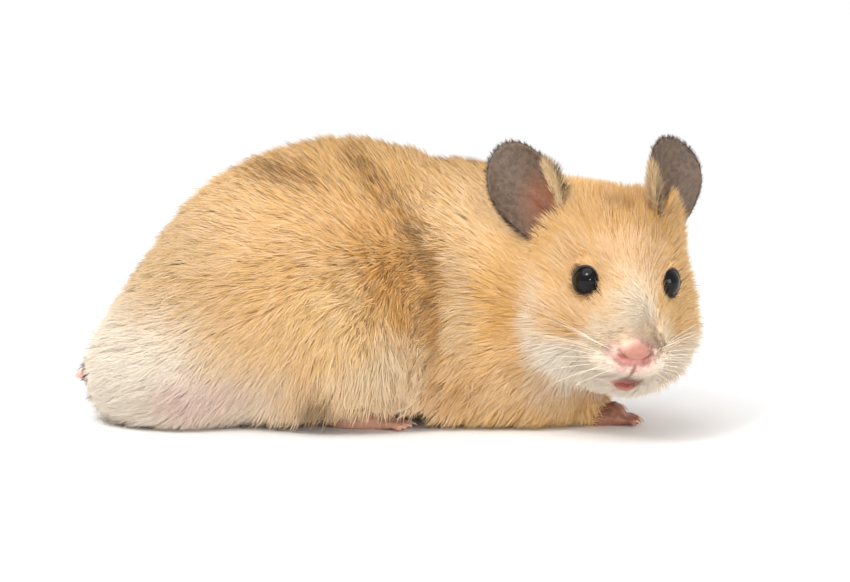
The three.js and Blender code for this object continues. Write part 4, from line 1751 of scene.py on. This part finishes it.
@dataclass(frozen=True)
class Quill:
    """A closed round spine along points, with a radius at each: a whisker or a claw."""

    points: tuple[Triple, ...]
    radii: tuple[float, ...]
    around: int = 6

    def add_to(self, mesh: bmesh.types.BMesh, place: Place) -> None:
        """Adds the spine to a mesh.

        Args:
            mesh: the mesh that it joins.
            place: the frame that it is given in.
        """
        spots = place.out(self.points)
        legs = unit(np.diff(spots, axis=0))
        aims = unit(np.vstack([legs[:1], legs[:-1] + legs[1:], legs[-1:]]))
        rings = []
        for spot, aim, radius in zip(spots[:-1], aims, self.radii):
            side = unit(np.cross(aim, (0.3, 0.2, 0.93)))
            up = np.cross(side, aim)
            turns = [math.tau * corner / self.around for corner in range(self.around)]
            outs = [side * math.cos(turn) + up * math.sin(turn) for turn in turns]
            rings.append([mesh.verts.new(spot + out * radius) for out in outs])
        tip = mesh.verts.new(spots[-1])
        mesh.faces.new(reversed(rings[0]))
        for low, high in zip(rings, rings[1:]):
            for corner in range(self.around):
                after = (corner + 1) % self.around
                mesh.faces.new((low[corner], low[after], high[after], high[corner]))
        for corner in range(self.around):
            mesh.faces.new((rings[-1][corner], rings[-1][(corner + 1) % self.around], tip))


@dataclass(frozen=True)
class Whiskers:
    """The whiskers on both sides of the muzzle."""

    rows: int = 4
    in_row: int = 4
    length: tuple[float, float] = (9.0, 17.0)
    radius: float = 0.065
    sag: float = 0.12

    def build(self, skin: Skin) -> bpy.types.Object:
        """Makes them, rooted in the skin."""
        rng = np.random.default_rng(SEED)
        shape = bmesh.new()
        for side in Side:
            for row in range(self.rows):
                for number in range(self.in_row):
                    self.one(side, row, number, rng, skin).add_to(shape, HEAD)
        piece = from_bmesh("whiskers", shape)
        paint = Shader("whisker")
        piece.data.materials.append(paint.finish({"Base Color": colour(WHISKER_WHITE), "Roughness": 0.4}))
        return piece

    def one(self, side: Side, row: int, number: int, rng: np.random.Generator, skin: Skin) -> Quill:
        """One whisker.

        Args:
            side: of the muzzle.
            row: from the top.
            number: from the front.
            rng: where its small differences come from.
            skin: what it is rooted in.

        Returns:
            The whisker, in the head's frame.
        """
        spread = 3.6 + 0.85 * number
        root = np.array([22.6 - 1.1 * number, spread * side.value, -5.4 - 1.15 * row + 0.1 * number])
        root = HEAD.into(np.array(skin.tree.find_nearest(HEAD.out(root).tolist())[0]))
        back = -0.15 - 0.22 * number + 0.1 * rng.normal()
        way = unit(np.array([back, side.value, 0.42 - 0.28 * row + 0.06 * rng.normal()]))
        long = np.interp(number, (0, self.in_row - 1), self.length) * rng.uniform(0.85, 1.1)
        points = []
        for step in range(9):
            share = step / 8
            spot = root + way * (long * share - 0.8) + np.array([-0.1, 0, -self.sag]) * long * share * share
            points.append(tuple(spot))
        radii = tuple(self.radius * (1 - 0.85 * step / 8) for step in range(8))
        return Quill(tuple(points), radii, 4)


@dataclass(frozen=True)
class Claws:
    """The claws at the toes' tips."""

    length: float = 1.5
    radius: float = 0.27
    droop: float = 0.75
    shares: tuple[float, ...] = (0, 0.3, 0.6, 0.85, 1)
    widths: tuple[float, ...] = (1.0, 0.85, 0.6, 0.3)
    ahead: float = 0.35
    raised: float = 0.32

    def build(self) -> bpy.types.Object:
        """Makes every claw, as one piece."""
        shape = bmesh.new()
        radii = tuple(self.radius * width for width in self.widths)
        for paw in PAWS:
            for _, tip, way in paw.toe_lines():
                aim = np.array([math.cos(way), math.sin(way), 0.0])
                start = tip + aim * self.ahead + (0, 0, self.raised)
                points = [
                    start + aim * self.length * share - np.array([0, 0, self.droop * share * share])
                    for share in self.shares
                ]
                Quill(tuple(tuple(point) for point in points), radii, 8).add_to(shape, paw.place)
        piece = from_bmesh("claws", shape)
        paint = Shader("claw")
        piece.data.materials.append(paint.finish({"Base Color": colour(CLAW_HORN), "Roughness": 0.3}))
        return piece


@dataclass(frozen=True)
class Tongue:
    """The tongue between the lips."""

    bead: Bead = Bead((18.2, -0.3, -13.7), (3.0, 2.3, 0.8), (0, 12, 0))
    furrow: float = 0.25

    def build(self) -> bpy.types.Object:
        """Makes it, with its furrow."""
        shape = bmesh.new()
        self.bead.add_to(shape, HEAD, 40)
        for vert in shape.verts:
            x, y, z = HEAD.into(np.array(vert.co))
            z -= self.furrow * math.exp(-((y / 0.45) ** 2)) * (z > self.bead.at[2])
            vert.co = HEAD.out((x, y, z))
        piece = from_bmesh("tongue_inside", shape)
        paint = Shader("tongue")
        grain = paint.noise(paint.node("ShaderNodeTexCoord", None, None, "Object"), 4000.0)
        bump = paint.node("ShaderNodeBump", None, {"Strength": 0.3, "Distance": 0.0002, "Height": grain})
        finish = {"Base Color": colour(TONGUE_PINK), "Roughness": 0.4, "Normal": bump}
        piece.data.materials.append(paint.finish(finish))
        return piece


@dataclass
class Hamster:
    """The whole animal."""

    nodes: dict[str, bpy.types.Object]

    def build(self) -> None:
        """Builds the skin, the coat and the small pieces, puts each on the body and hides the imported nodes
        that it replaces.
        """
        eyes = tuple(self.eyes())
        skin = Skin(self.nodes, eyes)
        markings = MarkingsAndPaintedShading(eyes)
        hide = skin.build()
        hide.data.materials.clear()
        hide.data.materials.append(markings.hide())
        self.hand_in(hide, [n for n in self.nodes if not n.startswith(("eye", "tongue"))])
        for piece in Coat(skin, Comb(), eyes).build(markings.fur()):
            self.hand_in(piece)
        self.hand_in(Whiskers().build(skin))
        self.hand_in(Claws().build())
        self.hand_in(Tongue().build(), ["tongue"])
        paint = Shader("eye")
        shine = {"Base Color": colour(EYE_BLACK), "Roughness": 0.04, "Specular IOR Level": 0.25}
        glass = paint.finish(shine)
        for eye in eyes:
            ball = eye.ball()
            ball.data.materials.append(glass)
            self.hand_in(ball, [f"eye_{eye.side.word}"])

    def eyes(self) -> list[Eye]:
        """The two eyes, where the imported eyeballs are."""
        found = []
        for side in Side:
            low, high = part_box(f"eye_{side.word}")
            found.append(Eye(side, np.array((low + high) / 2) / MM, max(high - low) / 2 / MM))
        return found

    def hand_in(self, piece: bpy.types.Object, replaced: list[str] | None = None) -> None:
        """Puts a piece on the body, and hides the nodes that it replaces."""
        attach(piece, BODY)
        if replaced:
            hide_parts(*replaced)


# ---- the stage


@dataclass(frozen=True)
class Lamp:
    """A square softbox.

    Args:
        name: of the lamp.
        at: where it stands, in millimetres.
        size: of its side, in millimetres.
        power: in watts.
    """

    name: str
    at: Triple
    size: float
    power: float

    def build(self, target: Triple) -> None:
        """Makes the lamp, facing a target in millimetres."""
        light = bpy.data.lights.new(self.name, "AREA")
        light.size = self.size * MM
        light.energy = self.power
        lamp = bpy.data.objects.new(self.name, light)
        bpy.context.scene.collection.objects.link(lamp)
        lamp.location = Vector(self.at) * MM
        lamp.rotation_euler = (Vector(target) - Vector(self.at)).to_track_quat("-Z", "Y").to_euler()


@dataclass(frozen=True)
class Stage:
    """The floor, the lights and the camera.

    Args:
        target: what the camera looks at, in millimetres.
        distance: of the camera from it, in millimetres.
        elevation: the camera's angle above the floor, in degrees.
        focal: its focal length, in pixels of a frame of that width.
        width: of the frame, in pixels.
        sensor: the camera's width, in millimetres.
        floor: half the floor's side, in millimetres.
        pale: the floor's grey.
        sky: the strength of the light from all round.
        sun: the strength of the light from above.
        sun_angle: how wide that light is, in degrees.
        sun_tilt: how it leans, in degrees about X and Y.
        lamps: the softboxes.
    """

    target: Triple = (7.7, 0.0, 27.0)
    distance: float = 600.0
    elevation: float = 8.0
    focal: float = 2880.0
    width: float = 850.0
    sensor: float = 36.0
    floor: float = 4000.0
    pale: float = 0.97
    sky: float = 0.74
    sun: float = 1.2
    sun_angle: float = 60.0
    sun_tilt: tuple[float, float] = (16.0, -24.0)
    lamps: tuple[Lamp, ...] = (
        Lamp("key", (-260, -380, 520), 150, 1.4),
        Lamp("fill", (380, -420, 160), 220, 0.85),
        Lamp("dot", (-24, -611, 172), 45, 0.5),
    )

    def build(self) -> None:
        """Makes the floor, the lights and the camera."""
        self.camera()
        shape = bmesh.new()
        bmesh.ops.create_grid(shape, x_segments=2, y_segments=2, size=self.floor)
        floor = from_bmesh("floor", shape)
        paint = Shader("pale floor")
        paint.finish({"Base Color": (self.pale, self.pale, self.pale, 1), "Roughness": 0.7})
        floor.data.materials.append(paint.material)
        world = bpy.data.worlds.new("studio")
        world.use_nodes = True
        backdrop = world.node_tree.nodes["Background"].inputs
        backdrop["Color"].default_value = (1, 1, 1, 1)
        backdrop["Strength"].default_value = self.sky
        bpy.context.scene.world = world
        bpy.context.scene.view_settings.view_transform = "Standard"
        for lamp in self.lamps:
            lamp.build(self.target)
        sun = bpy.data.lights.new("overhead", "SUN")
        sun.energy, sun.angle = self.sun, math.radians(self.sun_angle)
        above = bpy.data.objects.new("overhead", sun)
        bpy.context.scene.collection.objects.link(above)
        above.rotation_euler = (*[math.radians(tilt) for tilt in self.sun_tilt], 0)

    def camera(self) -> None:
        """The camera, level and in front of the animal's right side."""
        data = bpy.data.cameras.new("camera")
        data.sensor_width = self.sensor
        data.lens = self.focal * self.sensor / self.width
        data.clip_start, data.clip_end = 0.01, 20.0
        camera = bpy.data.objects.new("camera", data)
        bpy.context.scene.collection.objects.link(camera)
        rise = math.radians(self.elevation)
        back = Vector((0, -math.cos(rise), math.sin(rise)))
        camera.location = (Vector(self.target) + back * self.distance) * MM
        camera.rotation_euler = (math.pi / 2 - rise, 0, 0)
        bpy.context.scene.camera = camera


def main() -> None:
    """Builds the hamster."""
    logging.basicConfig(level=logging.INFO, format="%(relativeCreated)8d %(message)s")
    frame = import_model()
    Hamster(frame["nodes"]).build()
    Stage().build()


if __name__ == "__main__":
    main()
